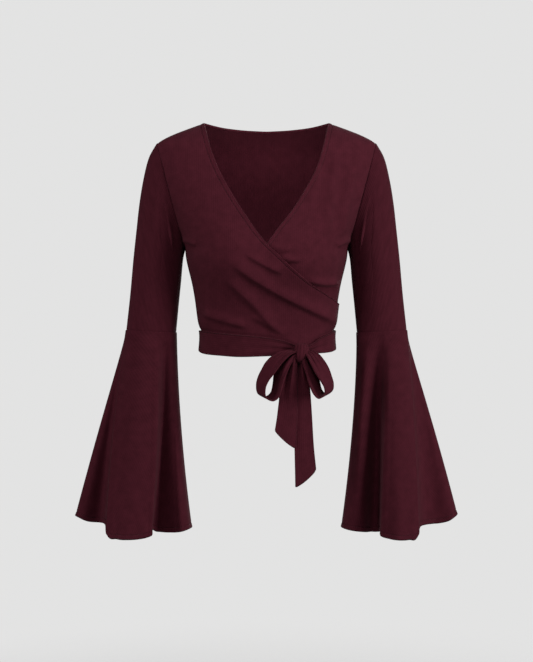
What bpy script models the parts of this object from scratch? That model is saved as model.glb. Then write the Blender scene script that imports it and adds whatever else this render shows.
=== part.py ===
"""A cropped wrap top with set-in bell sleeves and a waist tie, as the hollow form that it keeps when worn.

Metres, +Z up. The front faces -Y, and +X is the viewer's right. The origin is midway between the two high
shoulder points, where the wearer's shoulders carry the top. Each piece of cloth is a wall of its own, worked
out from its outer surface: a grid of rows that run across the piece and columns that run along it.
"""

import bpy
import numpy as np

# ---------------------------------------------------------------- driving dimensions
CLOTH = 0.0015  # wall of a single layer
TIE_CLOTH = 0.0022  # wall of the tie, which is turned and pressed double
SEAM_GAP = 0.0003  # between the edges of two pieces at a seam
LAYER_GAP = 0.0015  # between the two fronts
TIE_GAP = 0.0008  # between the bodice and the tie

NECK_WIDTH = 0.213  # between the high shoulder points
SHOULDER_WIDTH = 0.372  # between the shoulder tips
SHOULDER_DROP = 0.034
UNDERARM_WIDTH = 0.276
UNDERARM_DROP = 0.213
ARMHOLE_FRONT = 0.048  # how far the armhole reaches forward of the side seam
ARMHOLE_BACK = 0.054
ARMHOLE_POWER = 0.8  # 1 would make the armhole and the sleeve's rings plain ellipses
HEM_DROP = 0.380
SHOULDER_ROUND = 0.060  # drop over which the shoulder rounds into the chest and back
SECTION_POWER = 2.4  # 2 would make the torso's sections plain ellipses

WINE = (0.055, 0.012, 0.018, 1.0)
KNIT_ROUGHNESS = 0.85

# Half width of the torso along the shoulder seams, whose line goes on a little past the neck
SHOULDER_SEAM = np.array(
    [(0.010, 0.0800), (0.000, 0.1065), (-0.010, 0.1330), (-0.020, 0.1590), (-0.034, 0.1860)],
    dtype=[("z", float), ("half_width", float)],
)

# Half width of the torso along the side seams, from the underarm to below the hem
SIDE_SEAM = np.array(
    [(-0.213, 0.1380), (-0.230, 0.1365), (-0.245, 0.1332), (-0.270, 0.1270), (-0.298, 0.1218), (-0.325, 0.1183),
     (-0.340, 0.1160), (-0.352, 0.1120), (-0.366, 0.1112), (-0.382, 0.1125), (-0.410, 0.1145)],
    dtype=[("z", float), ("half_width", float)],
)

# How far the torso reaches forward and back of the side seams
TORSO_DEPTH = np.array(
    [(0.000, 0.060, 0.068), (-0.060, 0.076, 0.084), (-0.120, 0.092, 0.093), (-0.170, 0.106, 0.094),
     (-0.213, 0.115, 0.091), (-0.245, 0.115, 0.087), (-0.285, 0.105, 0.082), (-0.320, 0.096, 0.080),
     (-0.355, 0.090, 0.079), (-0.410, 0.091, 0.081)],
    dtype=[("z", float), ("front", float), ("back", float)],
)

BUST = {"x": 0.068, "z": -0.234, "height": 0.011, "across": 0.046, "tall": 0.050}

# Neck edge of each front, from its shoulder down to the far side seam
OVER_EDGE = np.array(
    [(0.0000, -0.1065), (-0.0235, -0.1002), (-0.0465, -0.0942), (-0.0834, -0.0804), (-0.1250, -0.0586),
     (-0.1638, -0.0342), (-0.2122, 0.0018), (-0.2285, 0.0187), (-0.2546, 0.0458), (-0.2809, 0.0782),
     (-0.2936, 0.0988), (-0.3085, 0.1210)],
    dtype=[("z", float), ("x", float)],
)
UNDER_EDGE = np.array(
    [(0.0000, 0.1065), (-0.0235, 0.1010), (-0.0465, 0.0954), (-0.0834, 0.0837), (-0.1250, 0.0618),
     (-0.1584, 0.0402), (-0.1855, 0.0187), (-0.2100, 0.0010), (-0.2330, -0.0225), (-0.2570, -0.0500),
     (-0.2809, -0.0794), (-0.2936, -0.1000), (-0.3085, -0.1210)],
    dtype=[("z", float), ("x", float)],
)

BACK_NECK = np.array(
    [(0.000, -0.0104), (0.046, -0.0082), (0.081, -0.0046), (0.096, -0.0020), (0.1065, 0.0000)],
    dtype=[("x", float), ("z", float)],
)

# Drape folds of the over front: a crease from start to end through a bend, with a ridge above it
FOLD_COLUMNS = [("start", float, 2), ("bend", float, 2), ("end", float, 2), ("height", float), ("below", float),
                ("above", float)]
OVER_FOLDS = np.array(
    [((-0.066, -0.248), (-0.012, -0.282), (0.108, -0.336), 0.0045, 0.007, 0.013),
     ((-0.084, -0.262), (-0.038, -0.296), (0.020, -0.360), 0.0038, 0.008, 0.014),
     ((-0.036, -0.224), (-0.018, -0.238), (0.020, -0.258), 0.0026, 0.006, 0.010),
     ((-0.104, -0.306), (-0.082, -0.330), (-0.040, -0.352), 0.0026, 0.007, 0.012),
     ((0.026, -0.258), (0.056, -0.284), (0.094, -0.304), 0.0020, 0.005, 0.008)],
    dtype=FOLD_COLUMNS,
)
BACK_FOLDS = np.array(
    [((-0.105, -0.300), (-0.060, -0.335), (-0.010, -0.350), 0.0024, 0.008, 0.014),
     ((0.105, -0.292), (0.066, -0.328), (0.016, -0.346), 0.0026, 0.008, 0.014)],
    dtype=FOLD_COLUMNS,
)

# Rings of the sleeve from the armhole to the flounce seam, x on the right sleeve
SLEEVE_RINGS = np.array(
    [(0.1860, -0.034, 0.1380, -0.213, 0.048, 0.054, 0.000), (0.2000, -0.060, 0.1386, -0.2165, 0.049, 0.053, 0.000),
     (0.2093, -0.098, 0.1400, -0.222, 0.049, 0.050, -0.001), (0.2157, -0.138, 0.1416, -0.231, 0.048, 0.048, -0.002),
     (0.2203, -0.180, 0.1430, -0.245, 0.047, 0.046, -0.003), (0.2257, -0.232, 0.1448, -0.268, 0.045, 0.045, -0.005),
     (0.2307, -0.290, 0.1484, -0.304, 0.044, 0.044, -0.007), (0.2372, -0.351, 0.1532, -0.355, 0.044, 0.044, -0.009)],
    dtype=[("outer_x", float), ("outer_z", float), ("inner_x", float), ("inner_z", float), ("front", float),
           ("back", float), ("y", float)],
)

# Each flounce's hem. turn is where the line to that point starts on the seam: 0 is the outer side, 90 the front.
# out and forward are from the hem's middle, away from the body and to the front.
HEM_COLUMNS = [("turn", float), ("out", float), ("forward", float), ("z", float)]
FLOUNCE_HEM = {
    "left": np.array(
        [(8.0, 0.0368, 0.0985, -0.6830), (11.0, 0.0345, 0.1010, -0.6880), (30, 0.0180, 0.1050, -0.6930),
         (55, 0.0000, 0.1075, -0.6935), (78, -0.0180, 0.1060, -0.6920), (94, -0.0310, 0.1005, -0.6900),
         (104, -0.0385, 0.0880, -0.6868), (110, -0.0350, 0.0560, -0.6840), (116, -0.0345, 0.0300, -0.6850),
         (122, -0.0420, 0.0245, -0.6885), (130, -0.0520, 0.0270, -0.6890), (139, -0.0640, 0.0330, -0.6890),
         (149, -0.0775, 0.0400, -0.6880), (159, -0.0900, 0.0420, -0.6860), (168, -0.0985, 0.0280, -0.6835),
         (178, -0.1002, 0.0010, -0.6830), (198, -0.0720, -0.0400, -0.6780), (225, -0.0400, -0.0850, -0.6800),
         (250, 0.0020, -0.0600, -0.6770), (274, 0.0400, -0.0830, -0.6770), (298, 0.0640, -0.0460, -0.6720),
         (318, 0.0890, -0.0320, -0.6690), (333, 0.0960, -0.0080, -0.6630), (342, 0.0948, 0.0150, -0.6610),
         (348, 0.0885, 0.0270, -0.6625), (352.5, 0.0800, 0.0235, -0.6665), (356, 0.0700, 0.0140, -0.6700),
         (359, 0.0600, 0.0080, -0.6720), (361.5, 0.0500, 0.0120, -0.6728), (363.5, 0.0425, 0.0300, -0.6732),
         (365, 0.0390, 0.0560, -0.6735), (366.5, 0.0375, 0.0860, -0.6750)],
        dtype=HEM_COLUMNS,
    ),
    "right": np.array(
        [(7.0, 0.0232, 0.0990, -0.6840), (10.0, 0.0205, 0.1020, -0.6890), (27, 0.0060, 0.1060, -0.6930),
         (47, -0.0130, 0.1075, -0.6935), (67, -0.0300, 0.1010, -0.6916), (80, -0.0402, 0.0880, -0.6870),
         (86, -0.0375, 0.0560, -0.6843), (93, -0.0375, 0.0300, -0.6880), (100, -0.0460, 0.0245, -0.6890),
         (110, -0.0580, 0.0245, -0.6885), (120, -0.0690, 0.0300, -0.6885), (128, -0.0755, 0.0420, -0.6870),
         (134, -0.0795, 0.0470, -0.6860), (142, -0.0865, 0.0440, -0.6850), (152, -0.0960, 0.0340, -0.6825),
         (162, -0.1006, 0.0160, -0.6822), (174, -0.0960, -0.0140, -0.6830), (190, -0.0680, -0.0400, -0.6790),
         (210, -0.0400, -0.0840, -0.6800), (234, 0.0020, -0.0580, -0.6770), (258, 0.0400, -0.0820, -0.6770),
         (286, 0.0640, -0.0460, -0.6720), (308, 0.0860, -0.0320, -0.6690), (321, 0.0945, -0.0120, -0.6640),
         (331, 0.0950, 0.0120, -0.6612), (339, 0.0885, 0.0260, -0.6650), (346, 0.0770, 0.0300, -0.6710),
         (351, 0.0640, 0.0290, -0.6740), (356, 0.0500, 0.0310, -0.6750), (359.5, 0.0390, 0.0380, -0.6758),
         (362, 0.0300, 0.0560, -0.6762), (364, 0.0250, 0.0840, -0.6775)],
        dtype=HEM_COLUMNS,
    ),
}
FLOUNCE_HEM_X = 0.2265  # middle of the hem
FLOUNCE_HEM_Y = -0.012
FLOUNCE_EASE = 0.0012  # how far the flounce's seam stands proud of the sleeve
FLOUNCE_HOLLOW = {"turn": 170, "spread": 30, "depth": 0.0050}  # the side next to the body, halfway down

# The waist tie's edges round the waist: 0 is the front, 90 the viewer's right, 180 the back
TIE_BAND = np.array(
    [(-90, -0.3530, -0.3840), (-65, -0.3545, -0.3900), (-38, -0.3575, -0.3930), (-18, -0.3605, -0.3950),
     (-2, -0.3640, -0.3940), (12, -0.3710, -0.3918), (22, -0.3780, -0.3905), (33, -0.3765, -0.3890),
     (46, -0.3655, -0.3890), (62, -0.3585, -0.3875), (90, -0.3530, -0.3825), (135, -0.3520, -0.3865),
     (180, -0.3520, -0.3890), (225, -0.3520, -0.3870), (270, -0.3530, -0.3840)],
    dtype=[("angle", float), ("top", float), ("bottom", float)],
)
TIE_GATHER = {"angle": 25.0, "spread": 22.0, "height": 0.0012, "pleats": 2.5}

KNOT = {"x": 0.0560, "y": -0.1010, "z": -0.3883, "half_width": 0.0120, "half_depth": 0.0112, "half_height": 0.0175}
KNOT_PLEATS = {"count": 7, "height": 0.0008}

# Middle line of each bow loop, from the knot and back to it, and the loop's width there
LOOP_COLUMNS = [("x", float), ("y", float), ("z", float), ("width", float)]
LEFT_LOOP = np.array(
    [(0.0412, -0.1010, -0.3860, 0.010), (0.0320, -0.1040, -0.3880, 0.014), (0.0188, -0.1070, -0.3945, 0.021),
     (0.0095, -0.1090, -0.4045, 0.026), (0.0020, -0.1100, -0.4170, 0.028), (-0.0046, -0.1100, -0.4300, 0.029),
     (-0.0092, -0.1100, -0.4440, 0.029), (-0.0075, -0.1100, -0.4580, 0.029), (0.0045, -0.1100, -0.4640, 0.029),
     (0.0140, -0.1100, -0.4570, 0.028), (0.0183, -0.1100, -0.4430, 0.027), (0.0208, -0.1090, -0.4300, 0.026),
     (0.0248, -0.1080, -0.4165, 0.023), (0.0310, -0.1060, -0.4040, 0.018), (0.0388, -0.1030, -0.3940, 0.010)],
    dtype=LOOP_COLUMNS,
)
RIGHT_LOOP = np.array(
    [(0.0704, -0.1010, -0.3870, 0.010), (0.0765, -0.1040, -0.3930, 0.017), (0.0835, -0.1070, -0.4040, 0.025),
     (0.0905, -0.1090, -0.4170, 0.028), (0.0970, -0.1100, -0.4300, 0.029), (0.1020, -0.1100, -0.4420, 0.029),
     (0.1015, -0.1100, -0.4530, 0.029), (0.0920, -0.1100, -0.4600, 0.029), (0.0835, -0.1100, -0.4530, 0.028),
     (0.0785, -0.1100, -0.4410, 0.026), (0.0745, -0.1090, -0.4290, 0.022), (0.0705, -0.1070, -0.4160, 0.017),
     (0.0665, -0.1040, -0.4050, 0.010)],
    dtype=LOOP_COLUMNS,
)
LOOP_LEAN = {"left": (0.50, -0.82, -0.28), "right": (-0.50, -0.82, -0.28)}  # across the strip, towards the viewer

# Edges of each hanging tail, from the knot down to its slanting end
TAIL_COLUMNS = [("left_x", float), ("left_z", float), ("right_x", float), ("right_z", float), ("y", float)]
LEFT_TAIL = np.array(
    [(0.0465, -0.4048, 0.0555, -0.4048, -0.0944), (0.0365, -0.4170, 0.0535, -0.4180, -0.0968),
     (0.0280, -0.4320, 0.0510, -0.4330, -0.0980), (0.0218, -0.4560, 0.0504, -0.4580, -0.0985),
     (0.0187, -0.4840, 0.0500, -0.4900, -0.0985), (0.0142, -0.5180, 0.0478, -0.5465, -0.0985)],
    dtype=TAIL_COLUMNS,
)
RIGHT_TAIL = np.array(
    [(0.0575, -0.4050, 0.0650, -0.4035, -0.0915), (0.0510, -0.4190, 0.0690, -0.4180, -0.0925),
     (0.0475, -0.4450, 0.0722, -0.4440, -0.0935), (0.0465, -0.4980, 0.0742, -0.4950, -0.0948),
     (0.0470, -0.5480, 0.0770, -0.5420, -0.0957), (0.0482, -0.6105, 0.0813, -0.5830, -0.0957)],
    dtype=TAIL_COLUMNS,
)
TAIL_FOLD = 0.0022  # depth of the lengthwise fold where a tail leaves the knot

# How finely each surface is divided
ARMHOLE_ROWS = 12
OVER_ROWS = {"to_far_seam": 25, "all": 37}
UNDER_ROWS = {"to_far_seam": 21, "all": 26}
BACK_ROWS = 24
OVER_COLUMNS = 20
UNDER_COLUMNS = 14
BACK_COLUMNS = 22
BACK_NECK_COLUMNS = 12
SLEEVE_ROWS = 12
FLOUNCE_ROWS = 7
FLOUNCE_COLUMNS = 64
TIE_COLUMNS = 64
TIE_ROWS = 3
LOOP_ROWS = 26
STRIP_COLUMNS = 4
TAIL_ROWS = 14
KNOT_RINGS = 9
KNOT_COLUMNS = 22


# ---------------------------------------------------------------- curves
def curve(knots, values, at):
    """The smooth curve through the points (knots, values), read at one or more places."""
    knots, values, at = np.asarray(knots, float), np.asarray(values, float), np.asarray(at, float)
    if knots[0] > knots[-1]:
        knots, values = knots[::-1], values[::-1]
    slopes = np.gradient(values, knots)
    i = np.clip(np.searchsorted(knots, at, side="right") - 1, 0, len(knots) - 2)
    step = knots[i + 1] - knots[i]
    t = np.clip((at - knots[i]) / step, 0, 1)
    rise = t * t * (3 - 2 * t)
    return (
        values[i] * (1 - rise)
        + values[i + 1] * rise
        + step * t * (1 - t) * (slopes[i] * (1 - t) - slopes[i + 1] * t)
    )


def smoothstep(low, high, value):
    t = np.clip((value - low) / (high - low), 0, 1)
    return t * t * (3 - 2 * t)


def unit(vectors):
    return vectors / np.maximum(np.linalg.norm(vectors, axis=-1, keepdims=True), 1e-12)


# ---------------------------------------------------------------- the torso's form
def armhole(turn, side):
    """A point of the armhole: turn is 0 at the shoulder tip, half of pi at the front and pi at the underarm."""
    down = (1 - np.cos(turn)) / 2
    x = (SHOULDER_WIDTH + (UNDERARM_WIDTH - SHOULDER_WIDTH) * down) / 2
    z = -SHOULDER_DROP + (SHOULDER_DROP - UNDERARM_DROP) * down
    y = -forward(turn) * np.where(np.sin(turn) > 0, ARMHOLE_FRONT, ARMHOLE_BACK)
    return np.stack([side * x, y, z], axis=-1)


def forward(turn):
    """How far round to the front a ring is at that turn: 1 at the front and -1 at the back."""
    return np.sign(np.sin(turn)) * np.abs(np.sin(turn)) ** ARMHOLE_POWER


def armhole_depth(down, front):
    """How far the armhole's edge is from the side seam's plane, down being 0 at its top and 1 at its foot."""
    return (ARMHOLE_FRONT if front else ARMHOLE_BACK) * (1 - (1 - 2 * down) ** 2) ** (ARMHOLE_POWER / 2)


def armhole_axis(side):
    """The normal of the armhole's plane, towards the sleeve."""
    run, fall = (SHOULDER_WIDTH - UNDERARM_WIDTH) / 2, UNDERARM_DROP - SHOULDER_DROP
    return unit(np.array([side * fall, 0.0, -run]))


def armhole_outward(turn, side):
    """The direction out of the armhole's loop, in its plane, at that turn."""
    plane = np.cross(armhole_axis(side), [0.0, 1.0, 0.0])
    plane = plane if plane[2] > 0 else -plane
    half_height = np.hypot(SHOULDER_WIDTH - UNDERARM_WIDTH, 2 * (UNDERARM_DROP - SHOULDER_DROP)) / 4
    depth = np.where(np.sin(turn) > 0, ARMHOLE_FRONT, ARMHOLE_BACK)
    rise = ARMHOLE_POWER * np.cos(turn) * depth
    reach = np.sign(np.sin(turn)) * np.abs(np.sin(turn)) ** (2 - ARMHOLE_POWER) * half_height
    return unit(rise[..., None] * plane - reach[..., None] * np.array([0.0, 1.0, 0.0]))


def depth_at(z, front):
    """Half depth of the torso's section, which closes to nothing at the top of the shoulders."""
    table = curve(TORSO_DEPTH["z"], TORSO_DEPTH["front" if front else "back"], z)
    down = np.clip(-z / SHOULDER_ROUND, 0, 1)
    return table * np.sqrt(down * (2 - down))


def width_at(z, front):
    """Half width of the torso's section, eased where the shoulder, the armhole and the side seam meet."""
    easing = ((-0.008, 0.1), (-0.004, 0.2), (0.0, 0.4), (0.004, 0.2), (0.008, 0.1))
    return sum(weight * uneased_width(z + step, front) for step, weight in easing)


def uneased_width(z, front):
    """Half width of the torso's section. Beside an armhole it is what puts the armhole's edge on the section."""
    over_shoulder = curve(SHOULDER_SEAM["z"], SHOULDER_SEAM["half_width"], z)
    down = np.clip((-SHOULDER_DROP - z) / (UNDERARM_DROP - SHOULDER_DROP), 0, 1)
    edge_x = (SHOULDER_WIDTH + (UNDERARM_WIDTH - SHOULDER_WIDTH) * down) / 2
    share = (armhole_depth(down, front) / np.maximum(depth_at(z, front), 1e-6)) ** SECTION_POWER
    beside_armhole = edge_x / (1 - share) ** (1 / SECTION_POWER)
    below = curve(SIDE_SEAM["z"], SIDE_SEAM["half_width"], z)
    return np.where(z > -SHOULDER_DROP, over_shoulder, np.where(z > -UNDERARM_DROP, beside_armhole, below))


def angle_of(x, z, front):
    """The angle round the torso's section of the point at that x, 0 at the centre and half of pi at the side."""
    share = np.clip(np.abs(x) / width_at(z, front), 0, 1)
    return np.sign(x) * np.arcsin(share ** (SECTION_POWER / 2))


def armhole_angle(z, front):
    """The angle round the torso's section of the armhole's edge, or of the side seam below it."""
    down = np.clip((-SHOULDER_DROP - z) / (UNDERARM_DROP - SHOULDER_DROP), 0, 1)
    return np.arccos((armhole_depth(down, front) / np.maximum(depth_at(z, front), 1e-6)) ** (SECTION_POWER / 2))


def torso(angle, z, front, out=0.0):
    """A point of the torso's surface, out metres outside it."""
    power = 2 / SECTION_POWER
    x = (width_at(z, front) + out) * np.sign(angle) * np.abs(np.sin(angle)) ** power
    y = (depth_at(z, front) + out) * np.abs(np.cos(angle)) ** power
    if front:
        across = np.exp(-(((np.abs(x) - BUST["x"]) / BUST["across"]) ** 2))
        y = y + BUST["height"] * across * np.exp(-(((z - BUST["z"]) / BUST["tall"]) ** 2)) * np.cos(angle)
    y = np.maximum(y, SEAM_GAP / 2)
    return np.stack([x, -y if front else y, z + 0 * x], axis=-1)


def facing(place, angle, z):
    """Outward unit normals of the surface place(angle, z)."""
    left, right = np.clip(angle - 0.004, -np.pi / 2, np.pi / 2), np.clip(angle + 0.004, -np.pi / 2, np.pi / 2)
    high, low = np.minimum(z + 0.001, -0.0005), np.minimum(z - 0.001, -0.0015)
    middle = np.minimum(z, -0.001)
    normals = unit(np.cross(place(right, middle) - place(left, middle), place(angle, low) - place(angle, high)))
    return normals if (normals * (place(angle, middle) - [0, 0, -0.2])).sum() > 0 else -normals


def draped(angle, z, front, layer, folds):
    """Outer points and normals of a panel of the bodice, with its folds lifted off the torso."""

    def smooth(angle, z):
        return torso(angle, z, front, layer(angle))

    def lifted(angle, z):
        plain = smooth(angle, z)
        lift = folds_at(plain[..., 0], plain[..., 2], folds) * np.clip(np.cos(angle) * 3, 0, 1)
        return plain + facing(smooth, angle, z) * lift[..., None]

    return lifted(angle, z), facing(lifted, angle, z)


def folds_at(x, z, folds):
    """How far the folds lift the cloth at (x, z): each is a ridge that falls steeply to the crease below it."""
    lift = np.zeros_like(x)
    for fold in folds:
        s = np.linspace(0, 1, 25)[:, None]
        line = fold["start"] * (1 - s) ** 2 + 2 * fold["bend"] * s * (1 - s) + fold["end"] * s**2
        away = np.stack([x, z], axis=-1)[..., None, :] - line
        nearest = np.argmin((away**2).sum(-1), axis=-1)
        along = np.gradient(line, axis=0)[nearest]
        off = np.take_along_axis(away, nearest[..., None, None], axis=-2)[..., 0, :]
        above = unit(np.stack([-along[..., 1], along[..., 0]], axis=-1))
        above = above * np.sign(above[..., 1:2])
        height = (off * above).sum(-1)
        past = np.abs((off * unit(along)).sum(-1))
        width = np.where(height < fold["above"] / 2, fold["below"], fold["above"])
        share = s[nearest, 0]
        ends = smoothstep(0, 0.25, share) * smoothstep(0, 0.18, 1 - share) * np.exp(-((past / 0.012) ** 2))
        lift += fold["height"] * ends * np.exp(-(((height - fold["above"] / 2) / width) ** 2))
    return lift


# ---------------------------------------------------------------- walls
def normals_of(grid, closed):
    """Outward unit normals of a grid of points whose concave side faces its middle."""
    if closed:
        across = np.roll(grid, -1, axis=1) - np.roll(grid, 1, axis=1)
    else:
        across = np.gradient(grid, axis=1)
    normals = unit(np.cross(across, np.gradient(grid, axis=0)))
    outward = (normals * (grid - grid.mean(axis=(0, 1)))).sum()
    return normals if outward > 0 else -normals


def onto_plane(normals, axis):
    """Those normals turned into the plane across axis, so that two pieces meet face to face at their seam."""
    axis = unit(np.asarray(axis, float))
    return unit(normals - (normals @ axis)[..., None] * axis)


def wall(name, outer, inner, closed=False):
    """An object whose wall lies between two grids of points. closed joins the last column to the first."""
    rows, columns = outer.shape[:2]
    points = np.concatenate([outer.reshape(-1, 3), inner.reshape(-1, 3)])
    count = rows * columns
    faces = []
    for r in range(rows - 1):
        for c in range(columns if closed else columns - 1):
            a, b = r * columns + c, r * columns + (c + 1) % columns
            d, e = a + columns, b + columns
            faces += [(a, b, e), (a, e, d)]
            faces += [(count + a, count + e, count + b), (count + a, count + d, count + e)]
    borders = [[c for c in range(columns)], [(rows - 1) * columns + c for c in range(columns)][::-1]]
    if closed:
        borders = [border + border[:1] for border in borders]
    else:
        side = [r * columns for r in range(rows)]
        borders += [side[::-1], [columns - 1 + start for start in side]]
    for border in borders:
        for a, b in zip(border, border[1:], strict=False):
            faces += [(b, a, count + a), (b, count + a, count + b)]
    return solid(name, points, faces)


def solid(name, points, faces):
    mesh = bpy.data.meshes.new(name)
    mesh.from_pydata([tuple(p) for p in points], [], faces)
    corners = points[np.array(faces)]
    if np.linalg.det(corners).sum() < 0:
        mesh.flip_normals()
    mesh.shade_smooth()
    mesh.set_sharp_from_angle(angle=np.radians(50))
    mesh.materials.append(knit())
    obj = bpy.data.objects.new(name, mesh)
    bpy.context.scene.collection.objects.link(obj)
    return obj


def knit():
    """The one cloth of the top: a fine wine-red rib knit."""
    material = bpy.data.materials.get("wine_knit")
    if material is None:
        material = bpy.data.materials.new("wine_knit")
        material.use_nodes = True
        shader = material.node_tree.nodes["Principled BSDF"]
        shader.inputs["Base Color"].default_value = WINE
        shader.inputs["Roughness"].default_value = KNIT_ROUGHNESS
        shader.inputs["Metallic"].default_value = 0.0
    return material


# ---------------------------------------------------------------- bodice
def own_side(rows):
    """Turn round the armhole and z of each row's start, from the shoulder tip down to the hem."""
    turn = np.linspace(0, np.pi, ARMHOLE_ROWS + 1)
    beside = -SHOULDER_DROP + (SHOULDER_DROP - UNDERARM_DROP) * (1 - np.cos(turn)) / 2
    below = np.linspace(-UNDERARM_DROP, -HEM_DROP, rows - ARMHOLE_ROWS + 1)[1:]
    return np.concatenate([turn, np.full(len(below), np.pi)]), np.concatenate([beside, below])


def even_shares(points, count):
    """Where to divide each line of points, as shares of it, so that its parts are about as long and as bent."""
    steps = np.diff(points, axis=-2)
    length = np.linalg.norm(steps, axis=-1)
    heading = unit(steps)
    bend = np.linalg.norm(np.diff(heading, axis=-2), axis=-1)
    bend = np.concatenate([bend, bend[..., -1:]], axis=-1)
    weight = length / length.sum(-1, keepdims=True) + bend / np.maximum(bend.sum(-1, keepdims=True), 1e-9)
    reached = np.concatenate([0 * weight[..., :1], np.cumsum(weight, axis=-1)], axis=-1)
    reached = (reached / reached[..., -1:]).reshape(-1, points.shape[-2])
    along = np.linspace(0, 1, points.shape[-2])
    return np.stack([np.interp(np.linspace(0, 1, count + 1), line, along) for line in reached])


def shoulder_facing(side):
    """The direction square to the shoulder seam, up and out."""
    return unit(np.array([side * SHOULDER_DROP, 0.0, (SHOULDER_WIDTH - NECK_WIDTH) / 2]))


def far_side(edge, rows, side):
    """Angle and z of each row's end, down the neck edge to the far side seam and along it to the hem."""
    z = np.linspace(0, edge["z"][-1], 600)
    angle = angle_of(curve(edge["z"], edge["x"], z), z, True)
    angle[0] = side * np.pi / 2
    at_seam = np.flatnonzero(-side * angle > np.pi / 2 - 1e-6)[0]
    z, angle = z[: at_seam + 1], angle[: at_seam + 1]
    share = even_shares(torso(angle, z, True), rows["to_far_seam"])[0] * at_seam
    down_seam = np.linspace(z[-1], -HEM_DROP, rows["all"] - rows["to_far_seam"] + 1)[1:]
    return (
        np.concatenate([np.interp(share, np.arange(len(z)), angle), np.full(len(down_seam), -side * np.pi / 2)]),
        np.concatenate([np.interp(share, np.arange(len(z)), z), down_seam]),
    )


def seat_on_armhole(points, normals, turn, column, side):
    """Puts one column of a bodice piece on the armhole, with its wall clear of the sleeve's."""
    facing = -SEAM_GAP / 2 * np.sign(turn[1])
    beside = slice(0, ARMHOLE_ROWS + 1)
    edge = armhole(turn[beside], side) - armhole_axis(side) * SEAM_GAP / 2
    edge[[0, -1], 1] = facing
    points[beside, column] = edge
    towards = np.minimum(normals[beside, column] @ armhole_axis(side), 0)
    normals[beside, column] = unit(normals[beside, column] - towards[:, None] * armhole_axis(side))
    normals[ARMHOLE_ROWS:, column] = onto_plane(normals[ARMHOLE_ROWS:, column], (0, 1, 0))


def front_grid(edge, side, rows, columns, folds, layer):
    """Outer points and normals of a front, from its own armhole and side seam to its neck edge and the far seam.

    side is -1 for the front that hangs from the viewer's left shoulder. layer gives how far outside the
    torso the piece lies, by the angle round the section.
    """
    turn, own_z = own_side(rows["all"])
    own_angle = side * armhole_angle(own_z, True)
    far_angle, far_z = far_side(edge, rows, side)

    def place(u):
        angle = own_angle[:, None] + (far_angle - own_angle)[:, None] * u
        z = own_z[:, None] + (far_z - own_z)[:, None] * u
        return angle, z, torso(angle, z, True, layer(angle))

    angle, z, _ = place(even_shares(place(np.linspace(0, 1, 200)[None, :])[2], columns))
    grid, normals = draped(angle, z, True, layer, folds)
    normals[0] = shoulder_facing(side)
    at_far_seam = slice(rows["to_far_seam"], None)
    normals[at_far_seam, -1] = onto_plane(normals[at_far_seam, -1], (0, 1, 0))
    seat_on_armhole(grid, normals, turn, 0, side)
    return grid, normals


def over_layer(angle):
    """The over front lies on the torso at its own side, and outside the under front at the far side."""
    return (CLOTH + LAYER_GAP) * smoothstep(-np.pi / 2, np.pi / 2, angle)


def under_layer(angle):
    return over_layer(angle) - CLOTH - LAYER_GAP


def build_fronts():
    for name, edge, side, rows, columns, folds, layer in (
        ("over_front", OVER_EDGE, -1, OVER_ROWS, OVER_COLUMNS, OVER_FOLDS, over_layer),
        ("under_front", UNDER_EDGE, 1, UNDER_ROWS, UNDER_COLUMNS, (), under_layer),
    ):
        grid, normals = front_grid(edge, side, rows, columns, folds, layer)
        wall(name, grid, grid - normals * CLOTH)


def build_back():
    """The back is one panel between the armholes, with the shoulder seams and the neckline as its top edge."""
    turn, side_z = own_side(BACK_ROWS)
    side_angle = armhole_angle(side_z, False)
    neck_share = BACK_NECK_COLUMNS / BACK_COLUMNS
    on_top = (1 + np.cos(turn))[:, None] / 2 * (side_z > -UNDERARM_DROP + 1e-9)[:, None]

    def place(u):
        neck_x = NECK_WIDTH / 2 * np.clip(np.abs(u) / neck_share, 0, 1)
        neck_z = curve(BACK_NECK["x"], BACK_NECK["z"], neck_x)
        off_neck = np.clip((np.abs(u) - neck_share) / (1 - neck_share), 0, 1)
        top_z = np.where(off_neck > 0, -SHOULDER_DROP * off_neck, neck_z)
        top_angle = np.where(off_neck > 0, np.sign(u) * np.pi / 2, angle_of(np.sign(u) * neck_x, neck_z, False))
        low_z = np.where(on_top > 0, -UNDERARM_DROP, side_z[:, None])
        z = low_z + (top_z - low_z) * on_top
        angle = side_angle[:, None] * (u * (1 - on_top) + top_angle / (np.pi / 2) * on_top)
        return angle, z

    u = np.linspace(-1, 1, BACK_COLUMNS + 1)[None, :]
    grid, normals = draped(*place(u), False, lambda _: 0.0, BACK_FOLDS)
    for column, side in ((0, -1), (-1, 1)):
        normals[0, side * u[0] > neck_share - 1e-6] = shoulder_facing(side)
        seat_on_armhole(grid, normals, -turn, column, side)
    wall("back", grid, grid - normals * CLOTH)


# ---------------------------------------------------------------- sleeves
def sleeve_ring(step, turn, side):
    """Points of the sleeve's rings: step counts down the table, and turn goes as round the armhole."""
    knots = np.arange(len(SLEEVE_RINGS))
    read = {name: curve(knots, SLEEVE_RINGS[name], step) for name in SLEEVE_RINGS.dtype.names}
    middle_x, reach_x = (read["outer_x"] + read["inner_x"]) / 2, (read["outer_x"] - read["inner_x"]) / 2
    middle_z, reach_z = (read["outer_z"] + read["inner_z"]) / 2, (read["outer_z"] - read["inner_z"]) / 2
    depth = np.where(np.sin(turn) > 0, read["front"], read["back"])
    return np.stack(
        [side * (middle_x + reach_x * np.cos(turn)), read["y"] - depth * forward(turn),
         middle_z + reach_z * np.cos(turn)],
        axis=-1,
    )


def cuff_axis(side):
    """The normal of the plane in which the sleeve and its flounce are joined, towards the flounce."""
    last = SLEEVE_RINGS[-1]
    return unit(np.array([side * (last["outer_z"] - last["inner_z"]), 0.0, last["inner_x"] - last["outer_x"]]))


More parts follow.
